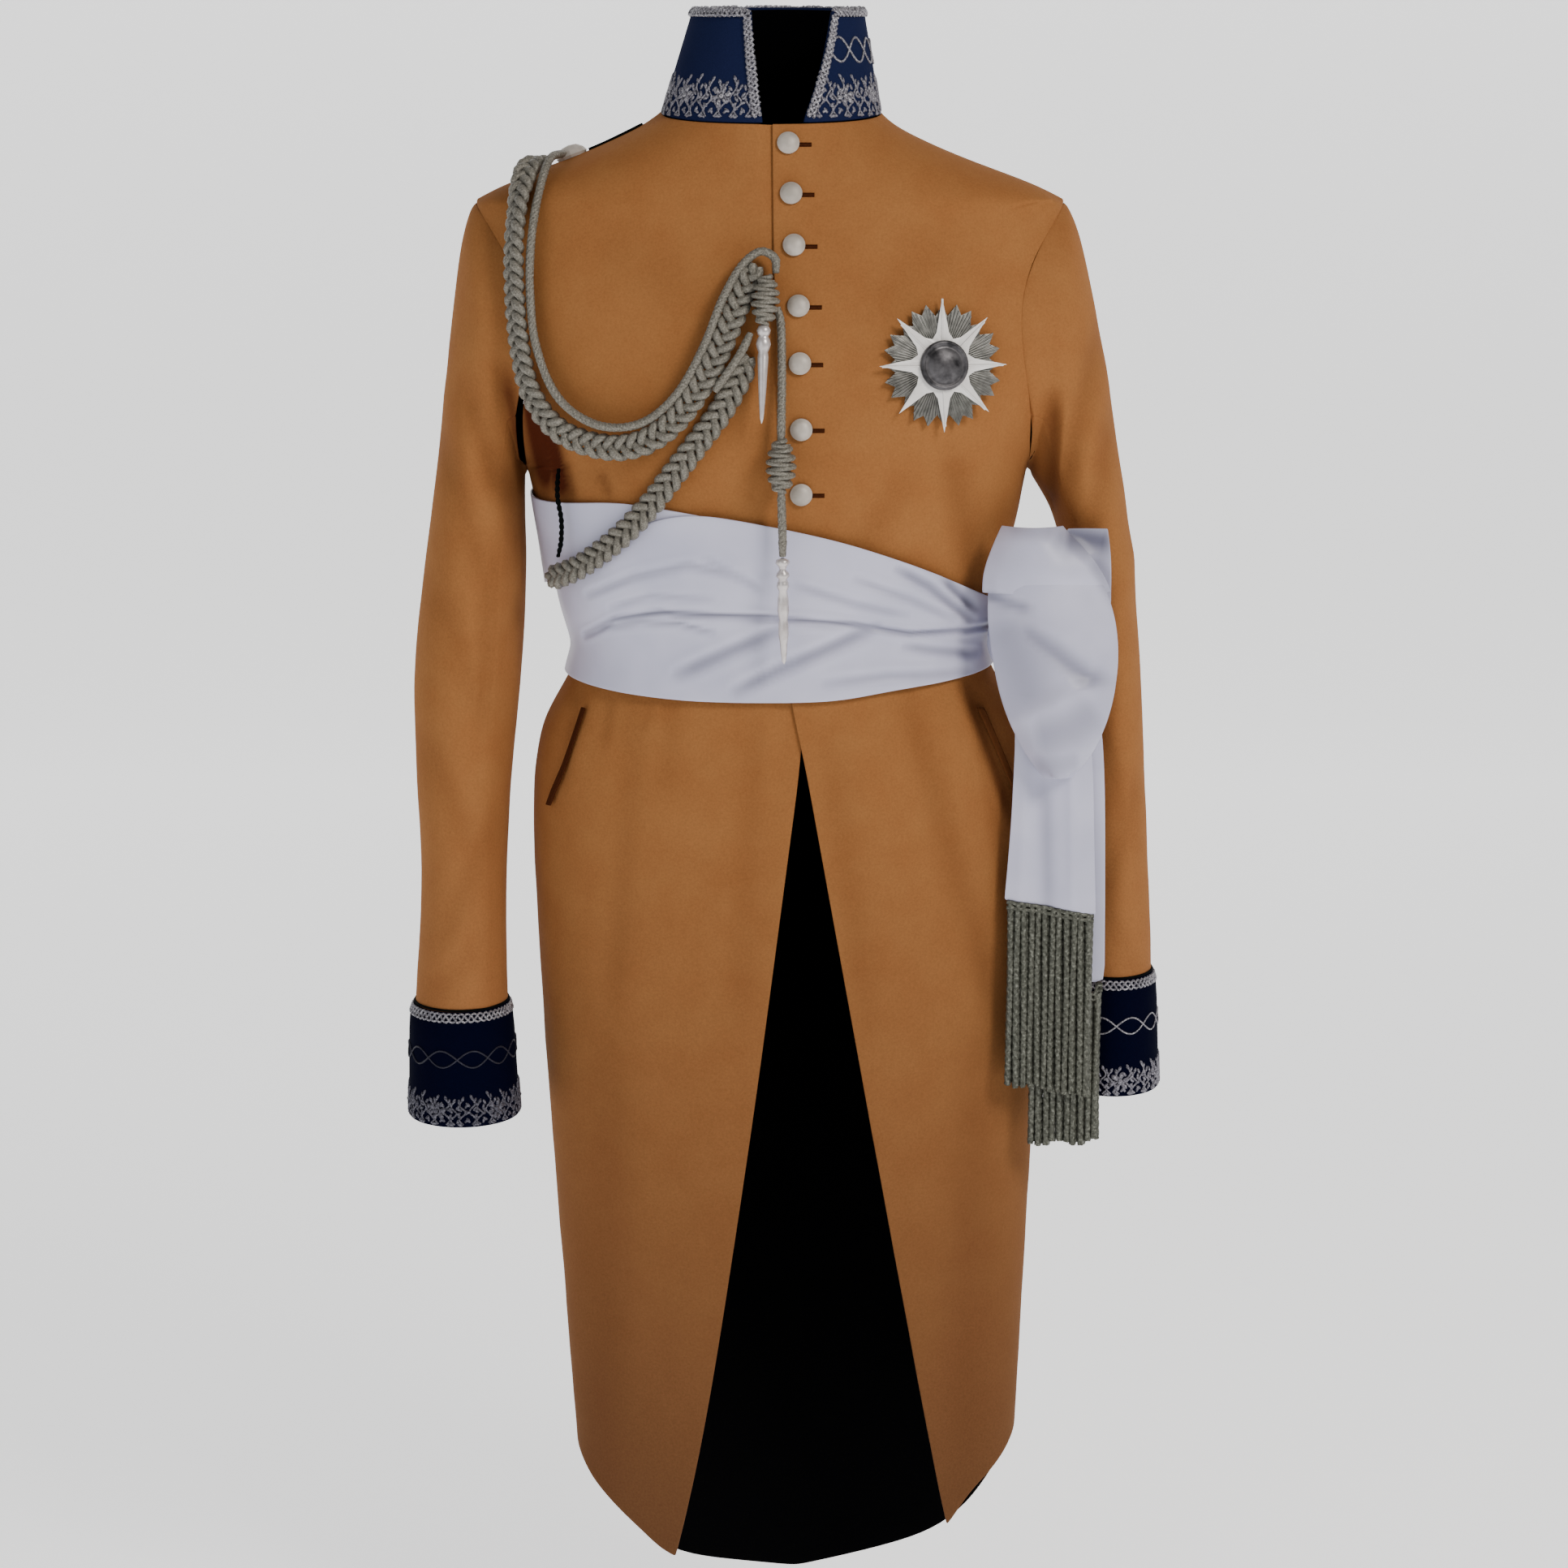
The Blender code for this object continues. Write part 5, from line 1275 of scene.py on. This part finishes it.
@dataclass
class Embroidery:
    """Raised silver work: leaves, flowers, scrolls and braids laid on a velvet ground."""

    name: str
    ground: Ground
    degrees_mm: float
    finish: Finish = EMBROIDERY
    leaf_lift: float = 0.1
    curl_step: float = 5.2
    curl_radius: float = 0.75
    leaves: bmesh.types.BMesh = field(init=False)
    lines: list[list[Vector]] = field(default_factory=list)
    radii: list[float] = field(default_factory=list)

    def __post_init__(self) -> None:
        """Starts with no leaves."""
        self.leaves = bmesh.new()

    def leaf(self, degrees: float, z: float, turn: float, length: float, width: float,
             rise: float = 1.1) -> None:
        """One padded leaf, its long axis turned from the level by an angle in degrees."""
        spot, normal = self.ground.place(degrees, z)
        level = Vector((0.0, 0.0, 1.0)).cross(normal).normalized()
        up = normal.cross(level).normalized()
        along = level * math.cos(math.radians(turn)) + up * math.sin(math.radians(turn))
        across = normal.cross(along)
        frame = Matrix((along, across, normal)).transposed().to_4x4()
        size = Matrix.Diagonal((length / 2 * MM, width / 2 * MM, rise * MM, 1.0))
        place = Matrix.Translation(spot + normal * self.leaf_lift * MM)
        bmesh.ops.create_icosphere(self.leaves, subdivisions=1, radius=1.0, matrix=place @ frame @ size)

    def line(self, stops: list[tuple[float, float]], radius: float, spacing: float = 2.2) -> None:
        """A laid cord through stops of angle and height."""
        flat = smooth_line([Vector((degrees * self.degrees_mm, z, 0.0)) for degrees, z in stops], spacing)
        points = [self.ground.place(p.x / self.degrees_mm, p.y, radius * 0.5)[0] for p in flat]
        self.lines.append(points)
        self.radii.append(radius * MM)

    def flower(self, degrees: float, z: float, size: float, petals: int = 6) -> None:
        """A flower: petals round a raised eye."""
        for k in range(petals):
            turn = 360 * k / petals + 15
            reach = size * 0.32
            self.leaf(degrees + reach * math.cos(math.radians(turn)) / self.degrees_mm,
                      z + reach * math.sin(math.radians(turn)), turn, size * 0.46, size * 0.28)
        self.leaf(degrees, z, 0, size * 0.32, size * 0.32, 1.7)

    def lace(self, first: float, last: float, feet: list[float], height: float) -> None:
        """A dense ground of small leaves and curls, ragged along its top.

        Args:
            first: the angle it starts at, in degrees.
            last: the angle it ends at.
            feet: its lowest height at even steps from the first angle to the last.
            height: its height in millimetres.
        """
        count = int((last - first) * self.degrees_mm / self.curl_step)
        step = 1 / self.degrees_mm
        for k in range(count):
            share = (k + 0.5) / count
            at = share * (len(feet) - 1)
            near, far = feet[int(at)], feet[min(int(at) + 1, len(feet) - 1)]
            foot = near + (far - near) * (at - int(at))
            degrees = first + (last - first) * share
            sense = 1 if k % 2 else -1
            rise = height * (0.86 + 0.12 * math.sin(2.7 * k))
            curl = [(degrees + sense * aside * step, foot + rise * up) for up, aside in LACE_CURL]
            self.line([(degrees, foot + 1)] + curl, self.curl_radius)
            for up, turn in LACE_LEAVES:
                tilt = turn + 18 * math.sin(1.9 * k + 9 * up)
                aside = sense * (2.2 if tilt < 90 else -2.2) * step
                self.leaf(degrees + aside, foot + rise * up, tilt if sense > 0 else 180 - tilt, 5.2, 2.5, 0.8)
            self.leaf(degrees, foot + rise, 90 + 30 * sense, 4.6, 2.4, 0.8)

    def braid(self, stops: list[tuple[float, float]], half: float, radius: float, pitch: float) -> None:
        """A flat three-strand braid laid along stops of angle and height."""
        flat = smooth_line([Vector((degrees * self.degrees_mm, z, 0.0)) for degrees, z in stops], 1.3)
        for phase in (0.0, 2 * math.pi / 3, 4 * math.pi / 3):
            points, along = [], 0.0
            for k, place in enumerate(flat):
                if k:
                    along += (place - flat[k - 1]).length
                ahead = (flat[min(k + 1, len(flat) - 1)] - flat[max(k - 1, 0)]).normalized()
                across = Vector((-ahead.y, ahead.x, 0.0))
                turn = 2 * math.pi * along / pitch + phase
                spot = place + across * half * math.sin(turn)
                lift = radius * (0.55 + 0.4 * math.sin(2 * turn))
                points.append(self.ground.place(spot.x / self.degrees_mm, spot.y, lift)[0])
            self.lines.append(points)
            self.radii.append(radius * MM)

    def build(self, slot: str) -> None:
        """Makes the laid lines and the leaves, as two pieces."""
        cords = strand_mesh(f"{self.name}_cords", self.lines, self.radii, self.finish, sides=0)
        finish_piece(cords, slot)
        if not self.leaves.verts:
            self.leaves.free()
            return
        leaves = new_piece(f"{self.name}_leaves", self.leaves, self.finish)
        finish_piece(leaves, slot)


@dataclass
class Collar:
    """The stand collar: navy velvet, a floral border at its foot and braided edges."""

    mm_a_degree: float = 1.22
    first_flower: float = 41.6
    last_flower: float = 332.0
    flowers: int = 13
    border: float = 29.0
    braid_half: float = 2.4
    braid_radius: float = 1.25
    braid_overlap: float = 0.9
    flower_rise: float = 15.0
    flower_size: float = 14.0
    scroll_z: float = 44.0
    scroll_height: float = 8.5
    scroll_radius: float = 0.85
    scroll_points: int = 52

    def foot(self, degrees: float) -> float:
        """The height of the collar's foot at an angle, lowest in front."""
        return -3.5 + 4.0 * (1 - math.cos(math.radians(degrees)))

    def build(self) -> None:
        """Makes the velvet and its embroidery."""
        ClothPiece("collar", VELVET, "navy_velvet", (0.40, 0.085), 0.025, ripple=0.0).build()
        ground = Ground(("collar_cloth",), (1.0, 4.0), (6.0, -2.0), 0.0, 74.0)
        work = Embroidery("collar_work", ground, self.mm_a_degree)
        lace = Embroidery("collar_lace", ground, self.mm_a_degree, LACE_WORK)
        inset = (self.braid_half + self.braid_radius - self.braid_overlap) / self.mm_a_degree
        heights = (1.0, 18.0, 35.0, 52.0, 66.0)
        left = [(ground.edge(z, 1) + inset, z) for z in heights]
        right = [(ground.edge(z, -1) - inset + 360, z) for z in heights]
        for stops in (left, right):
            (low, low_z), (high, high_z) = stops[0], stops[-1]
            even = [(low + (high - low) * (z - low_z) / (high_z - low_z), z) for z in (-2.0, *heights[1:])]
            work.braid(even, self.braid_half, self.braid_radius, 12)
        angles = [left[-1][0] - 1 + (right[-1][0] - left[-1][0] + 2) * k / 16 for k in range(17)]
        work.braid([(a, 72.1 - 2.6 * math.cos(math.radians(a))) for a in angles], 3.4, 1.3, 14)
        for k in range(self.flowers):
            degrees = self.first_flower + (self.last_flower - self.first_flower) * k / (self.flowers - 1)
            work.flower(degrees, self.foot(degrees) + self.flower_rise, self.flower_size)
        start, end = left[0][0] + inset + 1, right[0][0] - inset - 1
        feet = [self.foot(start + (end - start) * k / 24) for k in range(25)]
        lace.lace(start, end, feet, self.border)
        lace.build("silver_cord")
        for phase in (0.0, math.pi):
            wave = [(left[2][0] + inset + 2.6 * k,
                     self.scroll_z + self.scroll_height * math.sin(math.pi * k / 6 + phase))
                    for k in range(self.scroll_points)]
            work.line(wave, self.scroll_radius)
        work.build("silver_cord")


@dataclass
class Cuff:
    """A velvet cuff: a braid at its top, a thin scroll and a floral border at its foot."""

    node: str
    middle_high: tuple[float, float]
    middle_low: tuple[float, float]
    top: float
    foot: float
    area: float
    lace_finish: Finish = LACE_WORK
    scroll_finish: Finish = EMBROIDERY
    first_flower: float = 4.0
    mm_a_degree: float = 0.66
    border: float = 23.0
    tuck_height: float = 14.0
    tuck_share: float = 0.72
    braid_drop: float = 4.5
    flowers: int = 6
    flower_rise: float = 11.0
    flower_size: float = 14.0
    scroll_drop: float = 34.0
    scroll_height: float = 6.0

    def tuck(self, sleeves: tuple[str, ...]) -> None:
        """Draws the top of the cuff in to the sleeve that it is sewn on."""
        tree = cloth_tree(sleeves)
        for vertex in bpy.data.objects[f"{self.node}_cloth"].data.vertices:
            share = limited((vertex.co.z / MM - self.top + self.tuck_height) / self.tuck_height)
            spot, _, _, _ = tree.find_nearest(vertex.co)
            vertex.co += (spot - vertex.co) * self.tuck_share * share * share * (3 - 2 * share)

    def build_piping(self, sleeves: tuple[str, ...]) -> None:
        """A dark strand along the top of the cuff: painted shadow where the cuff meets the sleeve."""
        ground = Ground(sleeves, self.middle_low, self.middle_high, self.foot, self.top)
        line = [ground.place(6 * k, self.top + 0.6, 0.5)[0] for k in range(61)]
        piece = strand_mesh(f"{self.node}_piping", [line], [0.9 * MM], STRAP_VELVET)
        finish_piece(piece, "navy_velvet")

    def build(self) -> None:
        """Makes the velvet and its embroidery."""
        side = "left" if "left" in self.node else "right"
        hang = Hang.LEFT_SLEEVE if side == "left" else Hang.RIGHT_SLEEVE
        ClothPiece(self.node, CUFF_VELVET, "navy_velvet", (0.24, 0.09), self.area, hang, ripple=0.0,
                   lined=True).build()
        sleeves = (f"sleeve_{side}_top_cloth", f"sleeve_{side}_under_cloth")
        self.tuck(sleeves)
        self.build_piping(sleeves)
        ground = Ground((f"{self.node}_cloth",), self.middle_low, self.middle_high, self.foot, self.top)
        work = Embroidery(f"{self.node}_braid", ground, self.mm_a_degree)
        work.braid([(12 * k, self.top - self.braid_drop) for k in range(31)], 2.9, 0.9, 13)
        work.build("silver_cord")
        lace = Embroidery(f"{self.node}_lace", ground, self.mm_a_degree, self.lace_finish)
        for k in range(self.flowers):
            degrees = self.first_flower + 360 / self.flowers * k
            lace.flower(degrees, self.foot + self.flower_rise, self.flower_size)
        lace.lace(0, 360, [self.foot + 1.0] * 2, self.border)
        lace.build("silver_cord")
        scroll = Embroidery(f"{self.node}_scroll", ground, self.mm_a_degree, self.scroll_finish)
        for phase in (0.0, math.pi):
            middle = self.top - self.scroll_drop
            wave = [(4 * k, middle + self.scroll_height * math.sin(math.pi * k / 7.5 + phase)) for k in range(91)]
            scroll.line(wave, 0.65)
        scroll.build("silver_cord")


@dataclass
class Fastenings:
    """Buttons with their rims, the shoulder knob and the worked buttonholes."""

    spots: tuple[tuple[float, float], ...] = (
        (13, -20), (15, -54), (17, -89), (20, -130), (21, -169), (22, -214), (22, -259),
    )
    dome: tuple[tuple[float, float], ...] = (
        (0, 5.4), (2.4, 5.2), (4.6, 4.5), (6.2, 3.4), (6.9, 2.5), (7.2, 2.3), (7.7, 1.9), (7.8, 1.2),
        (7.4, 0.4), (6.0, 0.2), (0, 0.2),
    )
    slit_radius: float = 0.9
    stitch_radius: float = 0.45
    stitch_gap: float = 1.1
    hole_start: float = 6.0
    hole_step: float = 1.25
    hole_drop: float = 1.0

    def build_button(self, number: int) -> None:
        """A domed button with a rolled rim, standing where its solid stands."""
        node = f"button_{number}"
        shape = spun(self.dome, 32)
        bmesh.ops.transform(shape, matrix=seat(node), verts=shape.verts)
        piece = new_piece(f"{node}_domed", shape, BUTTON)
        finish_piece(piece, "button", node)

    def build_holes(self) -> None:
        """Worked buttonholes: a dark slit in a rim of stitches, to the wearer's left of each button."""
        tree = cloth_tree(("front_left_cloth",))
        lines, radii = [], []
        for x, z in self.spots:
            for rise, radius in ((0.0, self.slit_radius), (self.stitch_gap, self.stitch_radius),
                                 (-self.stitch_gap, self.stitch_radius)):
                places = [x + self.hole_start + self.hole_step * k for k in range(9)]
                lines.append([front_hit(tree, place, z - self.hole_drop + rise) for place in places])
                radii.append(radius * MM)
        piece = strand_mesh("buttonhole_silk", lines, radii, SLIT)
        finish_piece(piece, "welt")

    def build(self) -> None:
        """Makes the buttons and buttonholes and dresses the knob."""
        for number in range(1, len(self.spots) + 1):
            self.build_button(number)
        dress_solid("shoulder_button", BUTTON)
        self.build_holes()


def cloth_tree(names: tuple[str, ...]) -> BVHTree:
    """A tree of the faces of some pieces."""
    shape = bmesh.new()
    for name in names:
        shape.from_mesh(bpy.data.objects[name].data)
    tree = BVHTree.FromBMesh(shape)
    shape.free()
    return tree


def front_hit(tree: BVHTree, x: float, z: float) -> Vector:
    """Where a level line from the front meets the cloth, in metres, and 0.05 mm off it."""
    hit, _, _, _ = tree.ray_cast(Vector((x * MM, -0.4, z * MM)), Vector((0.0, 1.0, 0.0)))
    if hit is None:
        hit, _, _, _ = tree.find_nearest(Vector((x * MM, -0.1, z * MM)))
    return hit + Vector((0.0, -0.05 * MM, 0.0))


@dataclass
class BreastStar:
    """A generic star badge: bundles of fine rays, pale arms and a dark domed centre."""

    middle: tuple[float, float] = (119.0, -171.0)
    hub: float = 16.0
    rim: float = 47.0
    bars: int = 104
    points: int = 24
    tip_points: int = 18
    dome: tuple[tuple[float, float], ...] = (
        (0, 6.4), (4, 6.2), (8, 5.4), (11.5, 4.0), (13.6, 2.7), (14.4, 3.4), (15.6, 3.9), (16.8, 3.3),
        (17.2, 2.0), (17.2, 0.2), (0, 0.2),
    )

    def spoke(self, tree: BVHTree, turn: float) -> list[Vector]:
        """Points from the hub to the edge of a solid, on its front face."""
        points = []
        for step in range(self.points):
            reach = self.hub + (self.rim - self.hub) * step / (self.points - 1)
            x, z = self.middle[0] + reach * math.sin(turn), self.middle[1] + reach * math.cos(turn)
            start = Vector((x, -400.0, z))
            hit, _, _, _ = tree.ray_cast(start * MM, Vector((0.0, 1.0, 0.0)))
            if hit is None:
                break
            points.append(hit)
        return points

    def build_spokes(self, name: str, node: str, turns: list[float], radius: float, finish: Finish) -> None:
        """Fine ribs on a solid, each from the hub to the solid's edge."""
        tree = cloth_tree((node,))
        lines = [line for line in (self.spoke(tree, turn) for turn in turns) if len(line) > 3]
        piece = strand_mesh(name, lines, [radius * MM] * len(lines), finish, sides=0)
        finish_piece(piece, "silver")

    def build(self) -> None:
        """Ribs the rays and arms, dresses their solids and domes the centre."""
        dress_solid("star_rays", RAY_SILVER)
        dress_solid("star_arms", ENAMEL)
        turns = [2 * math.pi * k / self.bars for k in range(self.bars)]
        self.build_spokes("star_ray_ribs", "star_rays", turns, 0.7, RAY_SILVER)
        tree = cloth_tree(("star_arms",))
        reaches = [len(self.spoke(tree, turn)) for turn in turns]
        tips = [turn for k, turn in enumerate(turns)
                if reaches[k] > self.tip_points
                and reaches[k - 1] <= reaches[k] > reaches[(k + 1) % self.bars]]
        self.build_spokes("star_arm_ridges", "star_arms", tips, 0.8, ENAMEL)
        shape = spun(self.dome, 40)
        bmesh.ops.transform(shape, matrix=seat("star_centre"), verts=shape.verts)
        finish_piece(new_piece("star_dome", shape, OXIDISED), "silver", "star_centre")


@dataclass
class Studio:
    """The camera, the pale floor and the soft lights."""

    eye: tuple[float, float, float] = (0.010, -2.5, -0.020)
    pitch: float = 79.5
    focal_px: float = 4260.0
    photo_px: float = 1932.0
    sensor: float = 36.0
    floor_z: float = -1.22
    front_y: float = -8.0
    bend_y: float = 4.0
    bend_radius: float = 1.6
    bend_steps: int = 12
    paper_top: float = 7.0
    paper_width: float = 18.0
    surround: float = 0.25

    def build_camera(self) -> None:
        """Sets the camera at the photograph's angle."""
        data = bpy.data.cameras.new("camera")
        data.sensor_fit = "HORIZONTAL"
        data.sensor_width = self.sensor
        data.lens = self.focal_px / self.photo_px * self.sensor
        camera = bpy.data.objects.new("camera", data)
        camera.location = self.eye
        camera.rotation_euler = (math.radians(self.pitch), 0.0, 0.0)
        bpy.context.scene.collection.objects.link(camera)
        bpy.context.scene.camera = camera

    def build_light(self, name: str, place: tuple[float, float, float], aim: tuple[float, float, float],
                    size: float, power: float, colour: str) -> None:
        """One soft square light."""
        data = bpy.data.lights.new(name, "AREA")
        data.size = size
        data.energy = power
        data.color = linear(colour)[:3]
        light = bpy.data.objects.new(name, data)
        light.location = place
        light.rotation_euler = (Vector(aim) - Vector(place)).to_track_quat("-Z", "Y").to_euler()
        bpy.context.scene.collection.objects.link(light)

    def build(self) -> None:
        """Builds the sweep of paper, the lights and the white surround."""
        shape = bmesh.new()
        stops = [(self.front_y, self.floor_z), (self.bend_y, self.floor_z)]
        for step in range(1, self.bend_steps + 1):
            turn = math.radians(90 / self.bend_steps * step)
            stops.append((self.bend_y + self.bend_radius * math.sin(turn),
                          self.floor_z + self.bend_radius * (1 - math.cos(turn))))
        stops.append((self.bend_y + self.bend_radius, self.paper_top))
        points = [shape.verts.new((-self.paper_width / 2, y, z)) for y, z in stops]
        edges = [shape.edges.new((a, b)) for a, b in zip(points, points[1:])]
        wide = bmesh.ops.extrude_edge_only(shape, edges=edges)["geom"]
        far = [v for v in wide if isinstance(v, bmesh.types.BMVert)]
        bmesh.ops.translate(shape, vec=(self.paper_width, 0.0, 0.0), verts=far)
        bmesh.ops.recalc_face_normals(shape, faces=shape.faces)
        new_piece("floor", shape, PAPER)
        self.build_light("key", (1.7, -2.1, 1.45), (0.0, 0.0, -0.4), 0.9, 58.0, "#fffaf4")
        self.build_light("fill", (-1.8, -2.2, 0.3), (0.0, 0.0, -0.5), 1.8, 11.0, "#f4f8ff")
        world = bpy.data.worlds.new("surround")
        world.use_nodes = True
        background = world.node_tree.nodes["Background"]
        background.inputs["Color"].default_value = (1.0, 1.0, 1.0, 1.0)
        background.inputs["Strength"].default_value = self.surround
        bpy.context.scene.world = world


# The pieces that are sewn to each other, in the order in which their seams are closed.
SEAM_PAIRS = (
    ("sleeve_left_top", "sleeve_left_under"), ("sleeve_right_top", "sleeve_right_under"),
    ("sleeve_left_top", "front_left"), ("sleeve_left_top", "back_left"),
    ("sleeve_left_under", "front_left"), ("sleeve_left_under", "back_left"),
    ("sleeve_right_top", "front_right"), ("sleeve_right_top", "back_right"),
    ("sleeve_right_under", "front_right"), ("sleeve_right_under", "back_right"),
    ("front_left", "back_left"), ("front_right", "back_right"),
    ("front_left", "back_skirt_left"), ("front_right", "back_skirt_right"),
    ("back_left", "back_right"), ("back_left", "back_skirt_left"), ("back_right", "back_skirt_right"),
    ("back_skirt_left", "back_skirt_right"),
)


@dataclass
class Seams:
    """Where two cloth pieces meet: the rims that rounding drew apart are brought together again."""

    closing: float = 0.55
    full_from: float = 2.2
    reach: float = 3.4

    def moves(self, name: str, tree: BVHTree) -> dict[int, Vector]:
        """The step of each of a piece's points that takes it half the way to another piece."""
        steps = {}
        for vertex in bpy.data.objects[name].data.vertices:
            spot, _, _, gap = tree.find_nearest(vertex.co, self.reach * MM)
            if spot is not None:
                eased = min(1.0, self.full_from * (1 - gap / (self.reach * MM)))
                steps[vertex.index] = (spot - vertex.co) * self.closing * eased
        return steps

    def build(self) -> None:
        """Closes every seam."""
        for one, other in SEAM_PAIRS:
            names = (f"{one}_cloth", f"{other}_cloth")
            trees = [cloth_tree((name,)) for name in names]
            found = [self.moves(names[0], trees[1]), self.moves(names[1], trees[0])]
            for name, steps in zip(names, found):
                vertices = bpy.data.objects[name].data.vertices
                for index, step in steps.items():
                    vertices[index].co += step


def main() -> None:
    """Builds every part of the coat in order and reports each piece."""
    logging.basicConfig(level=logging.INFO, format="%(name)s %(message)s")
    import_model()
    Studio().build_camera()
    Aiguillette().build()
    Panels().build()
    Seams().build()
    Collar().build()
    Cuff("cuff_left", (253.0, -6.0), (252.0, -10.0), -620.0, -706.0, 0.0206).build()
    # The right cuff's embroidery takes the darker copies: painted shade.
    Cuff("cuff_right", (-227.5, -27.0), (-225.5, -35.0), -639.0, -722.0, 0.0214, SHADED_EMBROIDERY, SHADED_THREAD,
         -22.0).build()
    Fastenings().build()
    BreastStar().build()
    Sash().build()
    BullionFringe("fringe_front", 12).build()
    BullionFringe("fringe_back", 10).build()
    Studio().build()


if __name__ == "__main__":
    main()
